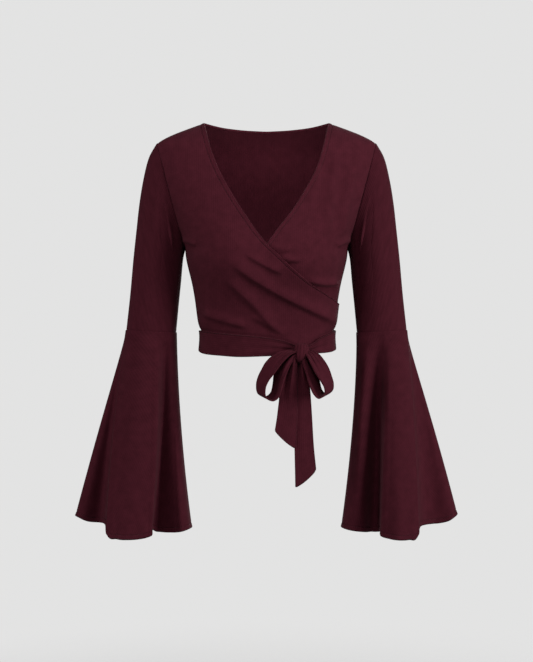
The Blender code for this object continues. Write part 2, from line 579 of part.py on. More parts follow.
def build_sleeve(name, side):
    turn = np.linspace(0, 2 * np.pi, 2 * ARMHOLE_ROWS, endpoint=False)
    step = np.linspace(0, len(SLEEVE_RINGS) - 1, SLEEVE_ROWS + 1)[:, None]
    grid = sleeve_ring(step, turn[None, :], side)
    normals = normals_of(grid, True)
    normals[0] = armhole_outward(turn, side)
    normals[-1] = onto_plane(normals[-1], cuff_axis(side))
    grid[0] += armhole_axis(side) * SEAM_GAP / 2
    grid[-1] -= cuff_axis(side) * SEAM_GAP / 2
    wall(name, grid, grid - normals * CLOTH, closed=True)


def flounce_hem(degrees, side, table):
    """Points of the flounce's hem, by the place on the seam from which their lines start."""
    thrice = np.concatenate([table["turn"] - 360, table["turn"], table["turn"] + 360])
    read = {column: curve(thrice, np.tile(table[column], 3), degrees) for column in ("out", "forward", "z")}
    return np.stack([side * (FLOUNCE_HEM_X + read["out"]), FLOUNCE_HEM_Y - read["forward"], read["z"]], axis=-1)


def build_flounce(name, side, table):
    """The flounce is a flared tube of nearly straight lines from its seam to its hem, where its folds are deepest."""
    fine = np.linspace(0, 360, 1441)
    shares = even_shares(flounce_hem(fine, side, table), FLOUNCE_COLUMNS)[0, :-1]
    degrees = shares * 360
    turn = np.radians(degrees)
    seam = sleeve_ring(np.array(float(len(SLEEVE_RINGS) - 1)), turn, side)
    middle = sleeve_ring(np.array(float(len(SLEEVE_RINGS) - 1)), np.radians(fine[:-1]), side).mean(axis=0)
    seam = seam + unit(seam - middle) * FLOUNCE_EASE + cuff_axis(side) * SEAM_GAP / 2
    hem = flounce_hem(degrees, side, table)
    out = np.stack([side * np.cos(turn), -np.sin(turn), 0 * turn], axis=-1)
    near = (degrees - FLOUNCE_HOLLOW["turn"] + 180) % 360 - 180
    hollow = FLOUNCE_HOLLOW["depth"] * np.exp(-((near / FLOUNCE_HOLLOW["spread"]) ** 2))
    down = np.linspace(0, 1, FLOUNCE_ROWS + 1)[:, None, None]
    grid = seam + (hem - seam) * down - out * hollow[:, None] * 4 * down * (1 - down)
    normals = normals_of(grid, True)
    normals[0] = onto_plane(normals[0], cuff_axis(side))
    wall(name, grid, grid - normals * CLOTH, closed=True)


# ---------------------------------------------------------------- waist tie and bow
def build_tie():
    """The tie lies round the waist over the hem of the bodice, and gathers to a narrow band behind the knot."""
    degrees = np.linspace(-90, 270, TIE_COLUMNS, endpoint=False)
    top = curve(TIE_BAND["angle"], TIE_BAND["top"], degrees)
    bottom = curve(TIE_BAND["angle"], TIE_BAND["bottom"], degrees)
    down = np.linspace(0, 1, TIE_ROWS + 1)[:, None]
    z = top + (bottom - top) * down
    front = degrees <= 90
    angle = np.radians(np.where(front, degrees, 180 - degrees)) + 0 * down
    over = over_layer(angle) * np.where(front, 1.0, smoothstep(120, 90, degrees))
    near_knot = np.exp(-(((degrees - TIE_GATHER["angle"]) / TIE_GATHER["spread"]) ** 2))
    pleats = TIE_GATHER["height"] * near_knot * (1 + np.cos(2 * np.pi * TIE_GATHER["pleats"] * down)) / 2
    out = over + TIE_GAP + TIE_CLOTH + pleats
    inner_out = out - TIE_CLOTH
    faces = [
        np.where(front[None, :, None], torso(angle, z, True, reach), torso(angle, z, False, reach))
        for reach in (out, inner_out)
    ]
    wall("waist_tie", faces[0], faces[1], closed=True)


def build_knot():
    """The knot is a pleated lump, flattened where it lies on the tie."""
    rise = np.linspace(0, np.pi, KNOT_RINGS + 1)[1:-1, None]
    turn = np.linspace(0, 2 * np.pi, KNOT_COLUMNS, endpoint=False)[None, :]
    pleat = 1 + KNOT_PLEATS["height"] / KNOT["half_width"] * np.cos(KNOT_PLEATS["count"] * turn)
    ring = np.sin(rise) ** 0.8
    x = KNOT["half_width"] * ring * np.cos(turn) * pleat
    y = KNOT["half_depth"] * ring * np.sin(turn) * pleat
    z = KNOT["half_height"] * np.cos(rise) + 0 * turn
    middle = np.array([KNOT["x"], KNOT["y"], KNOT["z"]])
    grid = np.stack([x, y, z], axis=-1) + middle
    poles = middle + np.array([[0, 0, KNOT["half_height"]], [0, 0, -KNOT["half_height"]]])
    points = np.concatenate([grid.reshape(-1, 3), poles])
    rings, columns = grid.shape[:2]
    top, bottom = rings * columns, rings * columns + 1
    faces = []
    for c in range(columns):
        n = (c + 1) % columns
        faces += [(top, c, n), (bottom, (rings - 1) * columns + n, (rings - 1) * columns + c)]
        for r in range(rings - 1):
            a, b = r * columns + c, r * columns + n
            faces += [(a, a + columns, b + columns), (a, b + columns, b)]
    obj = solid("bow_knot", points - middle, faces)
    obj.location = middle


def strip(name, grid):
    """A wall of the tie's double cloth, with the grid in the middle of its thickness."""
    normals = normals_of(grid, False)
    wall(name, grid + normals * TIE_CLOTH / 2, grid - normals * TIE_CLOTH / 2)


def build_loop(name, table, lean):
    knots = np.arange(len(table))
    step = np.linspace(0, knots[-1], LOOP_ROWS + 1)
    middle = np.stack([curve(knots, table[axis], step) for axis in "xyz"], axis=-1)
    width = curve(knots, table["width"], step)
    across = np.linspace(-0.5, 0.5, STRIP_COLUMNS + 1)
    lean = unit(np.array(lean))
    strip(name, middle[:, None] + across[None, :, None] * width[:, None, None] * lean)


def build_tail(name, table):
    knots = np.arange(len(table))
    step = np.linspace(0, knots[-1], TAIL_ROWS + 1)
    read = {column: curve(knots, table[column], step)[:, None] for column in table.dtype.names}
    across = np.linspace(0, 1, STRIP_COLUMNS + 1)[None, :]
    x = read["left_x"] + (read["right_x"] - read["left_x"]) * across
    z = read["left_z"] + (read["right_z"] - read["left_z"]) * across
    fading = 1 - step[:, None] / knots[-1]
    y = read["y"] - TAIL_FOLD * fading * np.sin(2 * np.pi * across) * 0.5
    strip(name, np.stack([x, y, z], axis=-1))


def main():
    for obj in list(bpy.data.objects):
        bpy.data.objects.remove(obj, do_unlink=True)
    build_back()
    build_fronts()
    for name, side in (("left", -1), ("right", 1)):
        build_sleeve("sleeve_" + name, side)
        build_flounce("flounce_" + name, side, FLOUNCE_HEM[name])
    build_tie()
    build_knot()
    build_loop("bow_loop_left", LEFT_LOOP, LOOP_LEAN["left"])
    build_loop("bow_loop_right", RIGHT_LOOP, LOOP_LEAN["right"])
    build_tail("bow_tail_left", LEFT_TAIL)
    build_tail("bow_tail_right", RIGHT_TAIL)


main()
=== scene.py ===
"""The looks of a cropped rib-knit wrap top with bell sleeves and a waist tie, in its worn, hollow form.

Metres, +Z up. The front faces -Y, and +X is the viewer's right. The origin is midway between the two high
shoulder points. Each piece is a thin shell of cloth on the form of its CAD solid, with its finer folds, its
turned hems and its seams. A piece's "cloth" UV map gives its own flat cloth in metres: u across the ribs and
v along them.
"""

import bpy
import numpy as np
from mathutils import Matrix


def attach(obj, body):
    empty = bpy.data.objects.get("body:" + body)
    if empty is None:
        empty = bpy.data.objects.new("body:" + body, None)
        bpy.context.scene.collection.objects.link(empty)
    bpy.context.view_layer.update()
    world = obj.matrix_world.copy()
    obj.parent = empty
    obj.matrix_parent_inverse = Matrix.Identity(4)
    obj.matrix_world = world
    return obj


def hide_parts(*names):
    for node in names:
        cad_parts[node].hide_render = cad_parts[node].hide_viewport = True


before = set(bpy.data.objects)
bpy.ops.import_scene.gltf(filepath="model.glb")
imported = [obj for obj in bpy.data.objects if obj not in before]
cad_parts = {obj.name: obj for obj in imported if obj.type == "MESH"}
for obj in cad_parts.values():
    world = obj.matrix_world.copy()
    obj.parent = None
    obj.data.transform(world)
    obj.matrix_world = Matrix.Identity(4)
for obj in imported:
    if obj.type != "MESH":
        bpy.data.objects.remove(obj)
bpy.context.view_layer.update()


def table(columns, rows):
    """A table with named columns, whose lengths are given in millimetres and read in metres.

    A starred column is no length, and stays as it is.
    """
    columns = columns.split()
    shapes = [(name.rstrip("*"), float, np.shape(cell)) for name, cell in zip(columns, rows[0], strict=True)]
    made = np.array(rows, dtype=shapes)
    for name in columns:
        if not name.endswith("*"):
            made[name] /= 1000
    return made


# ---------------------------------------------------------------- driving dimensions
CLOTH = 0.0015  # wall of a single layer's CAD solid, which sets how far its layers lie apart
SHELL = 0.0010  # a single layer of the knit
TIE_CLOTH = 0.0022  # the tie, which is turned and pressed double
SEAM_GAP = 0.0003
PANEL_GAP = 0.00006  # between the fronts and the back
ALLOWANCE = {"rows": (0.0036, 0.0016, 0.0002), "gap": 0.00015}  # the sleeve's, inside the bodice
CUFF_ALLOWANCE = {"rows": (0.0015, 0.0030), "gap": 0.0004}  # the sleeve's, inside the flounce
LAYER_GAP = 0.0015
TIE_GAP = 0.0008

NECK_WIDTH = 0.213
SHOULDER_WIDTH = 0.372
SHOULDER_DROP = 0.034
UNDERARM_WIDTH = 0.276
UNDERARM_DROP = 0.213
ARMHOLE_FRONT = 0.048
ARMHOLE_BACK = 0.054
ARMHOLE_POWER = 0.8
HEM_DROP = 0.380
SHOULDER_ROUND = 0.060
SECTION_POWER = 2.4
BUST = {"x": 0.068, "z": -0.234, "height": 0.011, "across": 0.046, "tall": 0.050}

# A turned hem is a little raised up to its line of stitches, rolled at its edge and sunk at the stitches
HEM_BAND = 0.0062  # from a turned edge to its line of stitches
HEM = {"raised": 0.00045, "step": 0.0006, "rolled": 0.00035, "roll": 0.0016, "sunk": 0.00075, "line": 0.0009,
       "turned": 1.4}
NECK_LINE = {"sunk": 0.0012, "wide": 0.0016}  # the same stitches, on the inside of the back
# Where the neck's hem runs out at a seam, in a front's rows and in shares of the back's width, and where the
# back's stitches end
NECK_END = {"rows": (0.5, -1.5), "shares": (0.03, -0.01), "stitches": -0.02}
STITCHED = slice(3, -3)  # the rows of a front's neck edge that are stitched
SEAM = {"sunk": 0.0006, "wide": 0.0011, "cuff": 0.0003}
# A stitch's ends are six-sided, and closed by two quads each
STITCH = {"length": 0.0021, "step": 0.0029, "radius": 0.00024, "sides": 6, "high": 1.1, "bowed": 0.9}
STITCH_RINGS = table("at* girth*", [(-1, 0.25), (-0.55, 1), (0.55, 1), (1, 0.25)])
EDGE_STEPS = 3  # rings of points round a free edge
EDGE_ROUND = 0.9

SHOULDER_SEAM = table("z half_width", [
    (10, 80), (0, 106.5), (-10, 133), (-20, 159), (-34, 186)])
SIDE_SEAM = table("z half_width", [
    (-213, 138), (-230, 136.5), (-245, 133.2), (-270, 127), (-298, 121.8), (-325, 118.3), (-340, 116),
    (-352, 112), (-366, 111.2), (-382, 112.5), (-410, 114.5)])
TORSO_DEPTH = table("z front back", [
    (0, 60, 68), (-60, 76, 84), (-120, 92, 93), (-170, 106, 94), (-213, 115, 91), (-245, 115, 87),
    (-285, 105, 82), (-320, 96, 80), (-355, 90, 79), (-410, 91, 81)])
OVER_EDGE = table("z x", [
    (0, -106.5), (-23.5, -100.2), (-46.5, -94.2), (-83.4, -80.4), (-125, -58.6), (-163.8, -34.2),
    (-212.2, 1.8), (-228.5, 18.7), (-254.6, 45.8), (-280.9, 78.2), (-293.6, 98.8), (-308.5, 121)])
UNDER_EDGE = table("z x", [
    (0, 106.5), (-23.5, 101), (-46.5, 95.4), (-83.4, 83.7), (-125, 61.8), (-158.4, 40.2), (-185.5, 18.7),
    (-210, 1), (-233, -22.5), (-257, -50), (-280.9, -79.4), (-293.6, -100), (-308.5, -121)])
BACK_NECK = table("x z", [
    (0, -10.4), (46, -8.2), (81, -4.6), (96, -2), (106.5, 0)])

# Drape folds: a crease from start to end through a bend, with a ridge above it
OVER_FOLDS = table("start bend end height below above", [
    ((-64, -243), (-8, -292), (134, -352), 5.6, 5.6, 12),
    ((-76, -268), (-34, -302), (18, -362), 4.6, 5.8, 12),
    ((-40, -228), (-16, -246), (28, -264), 3.4, 4.2, 9), ((-112, -326), (-84, -338), (-26, -352), 3.4, 5, 9),
    ((-30, -330), (0, -346), (34, -366), 2.6, 5, 9), ((-146, -203), (-130, -206), (-116, -214), 2.6, 2.2, 5)])
UNDER_FOLDS = table("start bend end height below above", [
    ((4, -216), (20, -226), (42, -224), 4.6, 2.4, 6), ((20, -235), (34, -243), (56, -241), 4.4, 2.4, 6),
    ((66, -272), (90, -284), (124, -276), 5, 3, 7), ((94, -55), (88, -110), (72, -180), 3, 6, 10),
    ((120, -45), (116, -105), (100, -200), 4.6, 7, 8), ((150, -70), (142, -120), (128, -200), 3.6, 8, 9),
    ((146, -203), (132, -206), (116, -216), 3, 2.2, 5)])
BACK_FOLDS = table("start bend end height below above", [
    ((-105, -300), (-60, -335), (-10, -350), 2.4, 8, 14), ((105, -292), (66, -328), (16, -346), 2.6, 8, 14)])
# A fold fades in and out over those shares of its length, past its ends over that distance, and towards the
# side seams
FOLD_FADE = {"start": 0.25, "end": 0.18, "past": 0.012, "side": 3}
FOLD_LINE = {"points": 41, "reach": 2.5}

# The sleeve's rings: outer and inner are its sides away from the body and next to it, front and back
# are its depths
SLEEVE_RINGS = table("outer_x outer_z inner_x inner_z front back y", [
    (186, -34, 138, -213, 48, 54, 0), (200, -60, 138.6, -216.5, 49, 53, 0),
    (209.3, -98, 140, -222, 49, 50, -1), (215.7, -138, 141.6, -231, 48, 48, -2),
    (220.3, -180, 143, -245, 47, 46, -3), (225.7, -232, 144.8, -268, 45, 45, -5),
    (230.7, -290, 148.4, -304, 44, 44, -7), (237.2, -351, 153.2, -355, 44, 44, -9)])
SLEEVE_STEP = 0.045  # about how far those rings lie apart
# Folds along a sleeve, between two of its rings: turn is where each starts and ends, and deep is less than
# nothing for a ridge
SLEEVE_FOLDS = table("turn* spread* from* to* deep", [
    ((104, 156), 6.5, 1.2, 5.6, -4), ((84, 140), 9, 0.9, 6, 6.4), ((134, 134), 26, 1.6, 7.3, 4.8),
    ((58, 64), 11, 1.6, 6, 1.6), ((40, 36), 8, 2.6, 6.7, 2.4), ((232, 232), 10, 1, 5, 2.6),
    ((285, 285), 14, 3, 7.2, 2)])
SLEEVE_FADE = {"start": 0.3, "end": 0.4}

# The flounce hangs from its seam to a hem about (x, y). Its cut is a flat ring's sector, closed under the arm
FLOUNCE = {"x": 0.2265, "y": -0.012, "ease": 0.0012, "seam": 0.280, "hem": 0.730, "long": 0.325}
# Its hem: turn is where a ruled line starts on the seam, out is away from the body, forward to the front
FLOUNCE_HEM = {
    "left": table("turn* out forward z", [
        (8, 36.6, 95, -682.8), (11, 34.2, 98.5, -687), (30, 18, 104.5, -692), (55, 0, 107.5, -693),
        (78, -18, 105.5, -692), (95, -31.5, 98.5, -690), (107, -38.5, 87, -687), (114, -36, 56, -684.3),
        (120, -36, 30, -685), (125, -41, 24.5, -688.5), (131, -48, 26.5, -689), (137, -56, 32.5, -689),
        (144, -65.5, 38.5, -688.5), (152, -76, 43.5, -687.8), (160, -87, 45, -686), (168, -97, 31, -683.5),
        (178, -100.2, 1, -683), (198, -72, -40, -678), (225, -40, -85, -680), (250, 2, -60, -677),
        (274, 40, -83, -677), (298, 64, -46, -672), (318, 89, -32, -670), (333, 96.2, -8, -665.2),
        (341, 95, 14, -663.6), (347, 89, 24, -665), (351.5, 80.5, 27, -668.8), (355.5, 71.5, 22.5, -672.2),
        (358.5, 63.5, 15.5, -673.8), (361, 56, 14.5, -674.2), (363, 48, 23.5, -674.5),
        (364.6, 42, 48, -674.6), (366.2, 38.2, 81, -676)]),
    "right": table("turn* out forward z", [
        (7, 23.2, 99, -684), (10, 20.5, 102, -689), (27, 6, 106, -693), (47, -13, 106.5, -693.5),
        (62, -26.2, 99, -692), (77, -39, 84, -688.5), (86, -37.5, 56, -684.3), (92, -38.5, 30, -688),
        (97, -44, 24.5, -689), (103, -50, 26.5, -688.5), (109, -55, 33, -688.2), (115, -59.8, 42.5, -687.4),
        (121, -65, 50, -686.4), (131, -76.5, 53, -685.2), (144, -89.5, 46.5, -683.6),
        (157, -98.8, 26, -682.4), (172, -97.5, -12, -683), (190, -68, -40, -679), (210, -40, -84, -680),
        (234, 2, -58, -677), (258, 40, -82, -677), (286, 64, -46, -672), (308, 86, -32, -669),
        (321, 94.5, -12, -664), (331, 95, 12, -661.2), (339, 88.5, 26, -665), (346, 77, 30, -671),
        (351, 64, 29, -674), (356, 50, 31, -675), (359.5, 39, 38, -675.8), (362, 30, 56, -676.2),
        (364, 25, 84, -677.5)]),
}
# How far the ruled lines bow halfway down: out from the sleeve's middle, and in towards the body
FLOUNCE_BELLY = {
    "left": table("turn* spread* out in", [
        (170, 30, -5, 0), (129, 8, -7, 0), (104, 9, 3, 0), (122, 22, 0, 6), (8.5, 3.5, 3, 0),
        (340, 30, 2.2, 0)]),
    "right": table("turn* spread* out in", [
        (170, 30, -5, 0), (100, 9, -5, 0), (128, 11, 8, 0), (340, 34, 4.6, 0)]),
}

# The tie's edges, by the angle round the waist: 0 in front, 90 at the viewer's right and 180 behind
TIE_BAND = table("angle* top bottom", [
    (-90, -353, -384), (-65, -354.5, -390), (-38, -357.5, -393), (-18, -360.5, -395), (-2, -364, -394),
    (12, -371, -391.8), (22, -378, -390.5), (33, -376.5, -389), (46, -365.5, -389), (62, -358.5, -387.5),
    (90, -353, -382.5), (135, -352, -386.5), (180, -352, -389), (225, -352, -387), (270, -353, -384)])
TIE_PULL = {"in": 0.0014, "above": 0.001, "wide": 0.0035}  # it draws the bodice in along its top edge
TIE_GATHER = {"angle": 25.0, "spread": 26.0, "height": 0.0022, "pleats": 2.5}
TIE_STEP = 0.0015  # about how far its columns lie apart
TIE_OFF_LAYERS = 120, 90  # degrees at which it lies on the back alone, and on both fronts
KNOT = {"x": 0.0578, "y": -0.1010, "z": -0.3895, "half_width": 0.0118, "half_depth": 0.0112,
        "half_height": 0.0155, "lean": 0.0030, "wide": 1.06, "narrows": 0.20, "square": 0.34, "taper": 0.42,
        "pleats": 12, "pleat_depth": 0.060, "pleat_turn": 0.8, "pleat_fade": 0.5}

# A loop's line: turned is how far its cloth faces the front, 1 being square to it
LOOPS = {
    "left": table("x y z width turned*", [
        (47, -103, -385, 12, 0.9), (39, -107, -386.8, 15, 0.9), (29, -110, -390.5, 20, 0.9),
        (19, -111.5, -397.5, 25, 0.86), (10, -112, -407.5, 28, 0.8), (2.5, -111.5, -419, 29, 0.7),
        (-5, -110.5, -431, 29, 0.58), (-9.2, -110, -444, 29, 0.5), (-7.5, -110, -458, 29, 0.46),
        (4.5, -109.5, -464, 29, 0.44), (14, -108.5, -457, 29, 0.46), (18, -107, -443, 29, 0.5),
        (20.5, -105.5, -430, 28, 0.6), (24.5, -104, -416.5, 26, 0.72), (31, -102, -404, 22, 0.84),
        (38.5, -101, -395.5, 18, 0.9), (45.5, -100, -390, 14, 0.9)]),
    "right": table("x y z width turned*", [
        (67, -103, -386, 14, 0.9), (75.5, -107, -392, 20, 0.9), (83.5, -110.5, -404, 25, 0.88),
        (90.5, -112, -417, 28, 0.82), (97, -111.5, -430, 29, 0.66), (102, -110, -442, 29, 0.54),
        (101.5, -110, -453, 29, 0.48), (92, -109.5, -460, 29, 0.46), (84, -108.5, -453, 29, 0.48),
        (79.5, -107, -441, 28, 0.58), (76.2, -105.5, -429, 25, 0.7), (72, -104, -416, 21, 0.82),
        (67.2, -102, -404, 18, 0.9), (64, -100, -393, 16, 0.9)]),
}
LOOP_TILT = 0.20
TAILS = {
    "left": table("left_x left_z right_x right_z y", [
        (42.5, -389, 53, -389, -101), (38.5, -403, 50, -403, -102), (34.5, -417, 49.5, -418, -102),
        (28.5, -433, 50.1, -434.5, -101), (23.2, -453, 50.6, -454, -100), (20.5, -474, 50.5, -476, -99),
        (17.8, -496, 49.4, -508, -98.5), (14.2, -518, 47.8, -546.5, -98.5)]),
    "right": table("left_x left_z right_x right_z y", [
        (52, -389, 60, -389, -98), (49.5, -403, 62.8, -403, -98), (48, -418, 66.8, -418, -97.5),
        (47, -437, 69.5, -437, -96.5), (46.5, -456, 71.6, -456, -95.5), (46.2, -498, 74.2, -495, -95),
        (47, -548, 77, -542, -95.7), (48.2, -610.5, 81.3, -583, -95.7)]),
}
# A tail's cut end curves out, and its corners are rounded. The end starts at that share of the tail, and a
# corner is that share of its width, the left one being rounded less
TAIL_END = {"start": 0.94, "bulge": 0.0024, "tip": 0.0020, "corner": 0.06, "left": 0.5}

# Folds along the bow's strips: across is the place on the strip's width, 0 to 1, and high is how far the fold
# stands forward, or back where it is less than nothing. Along the strip it is full at one distance and gone
# at the other
STRIP_FOLDS = {
    "tail_left": table("across* spread* high full gone", [
        (0.22, 0.11, -4.8, 10, 95), (0.58, 0.15, 4.6, 20, 105), (0.92, 0.1, -3, 10, 60),
        (0.6, 0.3, 1.2, 90, 0)]),
    "tail_right": table("across* spread* high full gone", [
        (0.2, 0.14, -7.5, 12, 70), (0.6, 0.13, 4.4, 10, 85), (0.88, 0.08, -3, 10, 60),
        (0.42, 0.3, 1, 100, 0)]),
    "loop_left": table("across* spread* high full gone", [
        (0.22, 0.09, -2.6, 5, 70), (0.5, 0.09, -2.2, 10, 50), (0.78, 0.09, -3, 10, 75),
        (0.68, 0.18, 5.6, 190, 125), (0.36, 0.1, -3.4, 200, 140)]),
    "loop_right": table("across* spread* high full gone", [
        (0.2, 0.09, -2.4, 5, 60), (0.48, 0.1, -2.4, 10, 55), (0.76, 0.09, -2.8, 10, 70),
        (0.8, 0.14, 4.8, 170, 110), (0.45, 0.12, -3.4, 170, 115)]),
}

# Rows and columns of the CAD solids, whose lines the finer grids keep
ARMHOLE_ROWS = 12
OVER_ROWS = {"to_far_seam": 25, "all": 37}
UNDER_ROWS = {"to_far_seam": 21, "all": 26}
BACK_ROWS = 24
BACK_COLUMNS = 22
BACK_NECK_COLUMNS = 12

# How finely the forms are read: to each side of a place for its normal, over the torso for the lengths round
# its sections, and along a front's edge and its rows
PROBE = {"angle": 0.004, "z": 0.001}
TORSO_MIDDLE = (0.0, 0.0, -0.2)
SECTIONS = {"low": -0.415, "high": -0.002, "rows": 90, "columns": 181}
EDGE_POINTS = 600
ROW_POINTS = 300

# The finer grids
FINER = 5  # rows for each row of a bodice solid
FRONT_COLUMNS = 110
BACK_FINER = 7  # columns for each of the back solid's
AT_SHOULDER = (0, 0.06, 0.14, 0.26, 0.42, 0.62, 0.82)  # a front's rows from its solid's first to its second
AT_BACK_SIDE = np.array([0.002, 0.005, 0.009, 0.016])  # the back's columns next to its sides, as shares
SLEEVE_GRID = {"round": 168, "down": 110}
FLOUNCE_GRID = {"round": 288, "down": 104}
TIE_GRID = {"round": 480, "down": 33}
KNOT_GRID = {"round": 144, "down": 66}
LOOP_GRID = {"along": 161, "across": 33}
TAIL_GRID = {"along": 181, "across": 41}

# Distances in from an edge at which its rows or columns lie
AT_HEM = np.array([0.0, 0.5, 1.2, 2.4, 3.8, 5.0, 5.5, 5.9, 6.2, 6.5, 6.9, 7.5, 8.6, 10.5]) / 1000
AT_SEAM = np.array([0.0, 0.4, 0.9, 1.6, 2.6, 4.0]) / 1000
AT_STITCH = np.argmin(np.abs(AT_HEM - HEM_BAND))

# Colour: the knit's tone goes from dark to light with a heather of fibres, soft clouds and painted rib shade
BACKDROP = (0.768, 0.768, 0.766, 1.0)
FLOOR_COLOUR = (0.90, 0.90, 0.898, 1.0)
KNIT_COLOURS = (0.050, 0.0064, 0.0124, 1.0), (0.100, 0.0147, 0.0266, 1.0)
# Dark enough that the stitches inside the back's neck hem paint a line of shade there
THREAD_AND_LINE_SHADE_COLOURS = (0.034, 0.004, 0.008, 1.0), (0.075, 0.011, 0.020, 1.0)
# In the tone, the rib's share is painted shade: darker in the grooves between the ribs, lighter on their tops
TONE_AND_GROOVE_SHADE = {"rib": 0.18, "heather": 0.62, "clouds": 0.84, "least": -0.32}
RIB_PITCH = 0.0032
COURSE_PITCH = 0.0016
COURSE_RELIEF = 0.14  # how much higher a stitch is than the rib that it is on
COURSE_SLANT = 1.2

# The camera, and the soft lights, which aim at the middle of the top. A light with a group of pieces lights
# nothing else, and one group alone can be what shades it
CAMERA = {"distance": 3.0, "z": -0.353, "sensor": 36.0}
FRAME_HEIGHT = 662 * 0.0017  # what the picture shows at the garment
AIM = np.array([0.0, 0.0, -0.35])
LIGHTS = {
    "right_light": {"at": (2.3, -1.2, 0.05), "size": (1.0, 1.4), "power": 41.0},
    "left_light": {"at": (-2.3, -1.2, 0.05), "size": (1.0, 1.4), "power": 21.0},
    "top_light": {"at": (0.0, -2.3, 1.5), "size": (1.2, 1.0), "power": 20.0},
    "chest_light": {"at": (0.2, -1.0, 0.95), "size": (0.5, 0.5), "power": 4.4, "lights": "chest"},
    "back_light": {"at": (0.4, 2.6, 0.6), "size": (1.8, 1.8), "power": 50.0},
    "neck_light": {"at": (0.0, -2.0, -1.0), "size": (1.5, 0.6), "power": 17.0, "lights": "inside_back",
                   "shaded_by": "bodice"},
    "neck_fill": {"at": (0.0, -2.0, -0.8), "size": (0.5, 0.5), "power": 6.5, "lights": "inside_back",
                  "shaded_by": "inside_back"},
    "bow_light": {"at": (0.5, -2.6, -0.25), "size": (0.8, 0.8), "power": 5.0, "lights": "bow"},
}
GROUPS = {name: bpy.data.collections.new(name) for name in ("inside_back", "bodice", "chest", "bow")}
FLOOR = {"z": -1.02, "rings": (0.0005, 0.5, 1.0, 1.5, 2.0, 2.5, 3.0), "sides": 96}
FLOOR_FADE = {"From Min": 0.5, "From Max": 1.5}  # how far from its middle the floor fades into the backdrop


# ---------------------------------------------------------------- curves
def curve(knots, values, at):
    """The smooth curve through the points (knots, values), read at one or more places."""
    knots, values, at = np.asarray(knots, float), np.asarray(values, float), np.asarray(at, float)
    if knots[0] > knots[-1]:
        knots, values = knots[::-1], values[::-1]
    slopes = np.gradient(values, knots)
    i = np.clip(np.searchsorted(knots, at, side="right") - 1, 0, len(knots) - 2)
    step = knots[i + 1] - knots[i]
    t = np.clip((at - knots[i]) / step, 0, 1)
    rise = t * t * (3 - 2 * t)
    bend = step * t * (1 - t) * (slopes[i] * (1 - t) - slopes[i + 1] * t)
    return values[i] * (1 - rise) + values[i + 1] * rise + bend


def between(start, end, share):
    return start + (end - start) * share


def smoothstep(low, high, value):
    t = np.clip((value - low) / (high - low), 0, 1)
    return t * t * (3 - 2 * t)


def unit(vectors):
    return vectors / np.maximum(np.linalg.norm(vectors, axis=-1, keepdims=True), 1e-12)


def bump(value):
    """A soft hump, 1 at 0 and nearly nothing at 2."""
    return np.exp(-(value**2))


def distances(points, axis):
    """How far each point of a grid lies from the first one along that axis."""
    steps = np.linalg.norm(np.diff(points, axis=axis), axis=-1)
    start = np.zeros_like(np.take(steps, [0], axis=axis))
    return np.cumsum(np.concatenate([start, steps], axis=axis), axis=axis)


def spaced(length, first, last, count):
    """Places along lines of those lengths, close together at both ends as first and last say."""
    length = np.asarray(length, float)[:, None]
    even = np.linspace(0, 1, count + 1)[1:-1]
    start, end = first[-1], length - last[-1]
    return np.concatenate([first + 0 * length, start + (end - start) * even, length - last[::-1]], axis=1)


def finer(marks, parts):
    """Those marks, with each stretch between two of them divided into equal parts."""
    marks = np.asarray(marks, float)
    steps = np.arange(parts) / parts
    inner = marks[:-1, None] + np.diff(marks)[:, None] * steps
    return np.concatenate([inner.ravel(), marks[-1:]])


# ---------------------------------------------------------------- the torso's form
def forward(turn):
    """How far round to the front a ring is at that turn: 1 at the front and -1 at the back."""
    return np.sign(np.sin(turn)) * np.abs(np.sin(turn)) ** ARMHOLE_POWER


def armhole(turn, side):
    """A point of the armhole: turn is 0 at the shoulder tip, pi / 2 at the front and pi at the underarm."""
    down = (1 - np.cos(turn)) / 2
    x = between(SHOULDER_WIDTH, UNDERARM_WIDTH, down) / 2
    z = between(-SHOULDER_DROP, -UNDERARM_DROP, down)
    y = -forward(turn) * np.where(np.sin(turn) > 0, ARMHOLE_FRONT, ARMHOLE_BACK)
    return np.stack([side * x, y, z], axis=-1)


def armhole_down(z):
    """How far down the armhole that height is, 0 at its top and 1 at its foot."""
    return np.clip((-SHOULDER_DROP - z) / (UNDERARM_DROP - SHOULDER_DROP), 0, 1)


def armhole_axis(side):
    """The normal of the armhole's plane, towards the sleeve."""
    run, fall = (SHOULDER_WIDTH - UNDERARM_WIDTH) / 2, UNDERARM_DROP - SHOULDER_DROP
    return unit(np.array([side * fall, 0.0, -run]))


def depth_at(z, front):
    """Half depth of the torso's section, which closes to nothing at the top of the shoulders."""
    depth = curve(TORSO_DEPTH["z"], TORSO_DEPTH["front" if front else "back"], z)
    down = np.clip(-z / SHOULDER_ROUND, 0, 1)
    return depth * np.sqrt(down * (2 - down))


def edge_share(z, front):
    """How deep the armhole's edge lies at that height, as a share of the torso's section."""
    rounding = (1 - (1 - 2 * armhole_down(z)) ** 2) ** (ARMHOLE_POWER / 2)
    return (ARMHOLE_FRONT if front else ARMHOLE_BACK) * rounding / np.maximum(depth_at(z, front), 1e-6)


def width_at(z, front):
    """Half width of the torso's section, eased where the shoulder, the armhole and the side seam meet."""
    easing = ((-0.008, 0.1), (-0.004, 0.2), (0.0, 0.4), (0.004, 0.2), (0.008, 0.1))
    return sum(weight * uneased_width(z + step, front) for step, weight in easing)


def uneased_width(z, front):
    """Half width of the torso's section, which beside an armhole puts the armhole's edge on the section."""
    over_shoulder = curve(SHOULDER_SEAM["z"], SHOULDER_SEAM["half_width"], z)
    edge_x = between(SHOULDER_WIDTH, UNDERARM_WIDTH, armhole_down(z)) / 2
    beside_armhole = edge_x / (1 - edge_share(z, front) ** SECTION_POWER) ** (1 / SECTION_POWER)
    below = curve(SIDE_SEAM["z"], SIDE_SEAM["half_width"], z)
    return np.where(z > -SHOULDER_DROP, over_shoulder, np.where(z > -UNDERARM_DROP, beside_armhole, below))


